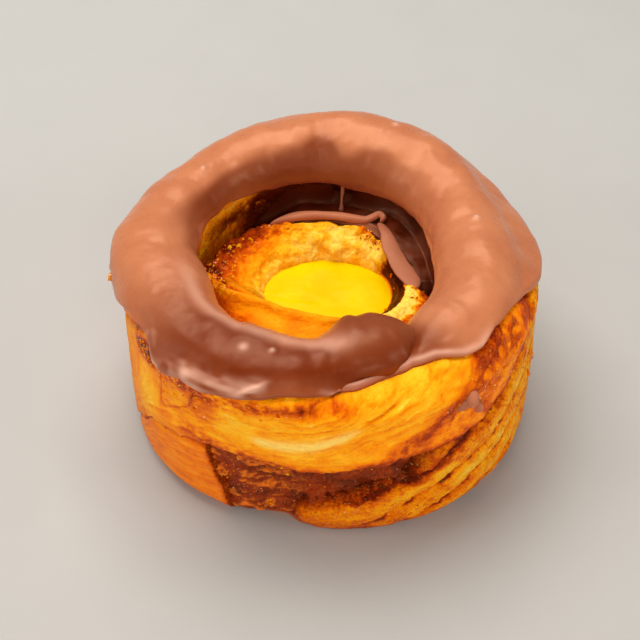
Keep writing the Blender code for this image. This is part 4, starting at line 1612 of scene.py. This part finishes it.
studio = {
    # in metres: half the width, where the floor begins, where it curves up, how high it goes
    "halfWidth": 1.6, "front": -1.2, "curve": 0.5, "top": 1.4,
    "paper": (paint(172, 171, 169), paint(178, 177, 175)),
    "paperRoughness": 0.85,
    "target": (0, 0, 0.03),    # all lights look here
    "lights": {
        # place, size, power, colour
        "overhead": ((-0.10, 0.20, 0.60), (0.56, 0.44), 5.1, (1.0, 0.96, 0.90)),
        "front": ((0.02, -0.75, 0.10), (0.80, 0.16), 2.6, (1.0, 0.91, 0.78)),
        "viewer": ((0.05, -0.50, 0.50), (0.30, 0.20), 0.8, (1.0, 0.95, 0.86)),
        "left": ((-0.60, -0.14, 0.34), (0.30, 0.30), 1.0, (1.0, 0.95, 0.88)),
        "right": ((0.60, -0.20, 0.28), (0.30, 0.30), 1.1, (1.0, 0.94, 0.86)),
    },
    "sky": (1.0, 0.985, 0.96, 1.0),
    "skyStrength": 0.20,
}


def makeFloor():
    # flat in front, a quarter turn up behind and then upright
    curve, turn = studio["curve"], np.linspace(0.1, np.pi / 2, 12)
    run = [np.linspace(studio["front"], curve, 12), curve + curve * np.sin(turn), np.full(8, 2 * curve)]
    rise = [np.zeros(12), curve - curve * np.cos(turn), np.linspace(0.56, studio["top"], 8)]
    side = np.linspace(-studio["halfWidth"], studio["halfWidth"], 24)
    grid = vectors(side[:, None], np.concatenate(run)[None], np.concatenate(rise)[None]) / mm
    floor = makePiece("studio_floor", grid.reshape(-1, 3), gridFaces(24, 32, False, False), keepIn=False)
    material, sheet = newMaterial("studio_paper")
    colour = sheet.blend(sheet.noise(sheet.place(), 40.0, 3.0), *studio["paper"])
    floor.data.materials.append(finish(material, sheet, colour, studio["paperRoughness"], None, {}))


def putInScene(name, data, place, turn):
    # an object for a light's or a camera's data
    thing = bpy.data.objects.new(name, data)
    thing.location = place
    thing.rotation_euler = turn
    bpy.context.scene.collection.objects.link(thing)
    return thing


def areaLight(name, place, size, power, colour):
    # a rectangle of light turned to the pastry
    data = bpy.data.lights.new(name, "AREA")
    data.shape = "RECTANGLE"
    data.size, data.size_y = size
    data.energy = power
    data.color = colour
    way = Vector(studio["target"]) - Vector(place)
    putInScene(name, data, place, way.to_track_quat("-Z", "Y").to_euler())


makeFloor()
for name, light in studio["lights"].items():
    areaLight(name, *light)
world = bpy.data.worlds.new("studio")
bpy.context.scene.world = world
world.use_nodes = True
background = world.node_tree.nodes["Background"].inputs
background["Color"].default_value = studio["sky"]
background["Strength"].default_value = studio["skyStrength"]
bpy.context.scene.view_settings.view_transform = "Standard"

view = {
    # the photo's own viewpoint: a long lens looking down at about 48 degrees
    "lens": 79.31, "sensor": 36.0, "place": (0.0, -0.2401, 0.2908), "down": 48.26, "turn": 0.08,
}
camera = bpy.data.cameras.new("camera")
camera.lens = view["lens"]
camera.sensor_width = view["sensor"]
turn = (math.radians(90.0 - view["down"]), 0.0, math.radians(view["turn"]))
bpy.context.scene.camera = putInScene("camera", camera, view["place"], turn)
report("studio")
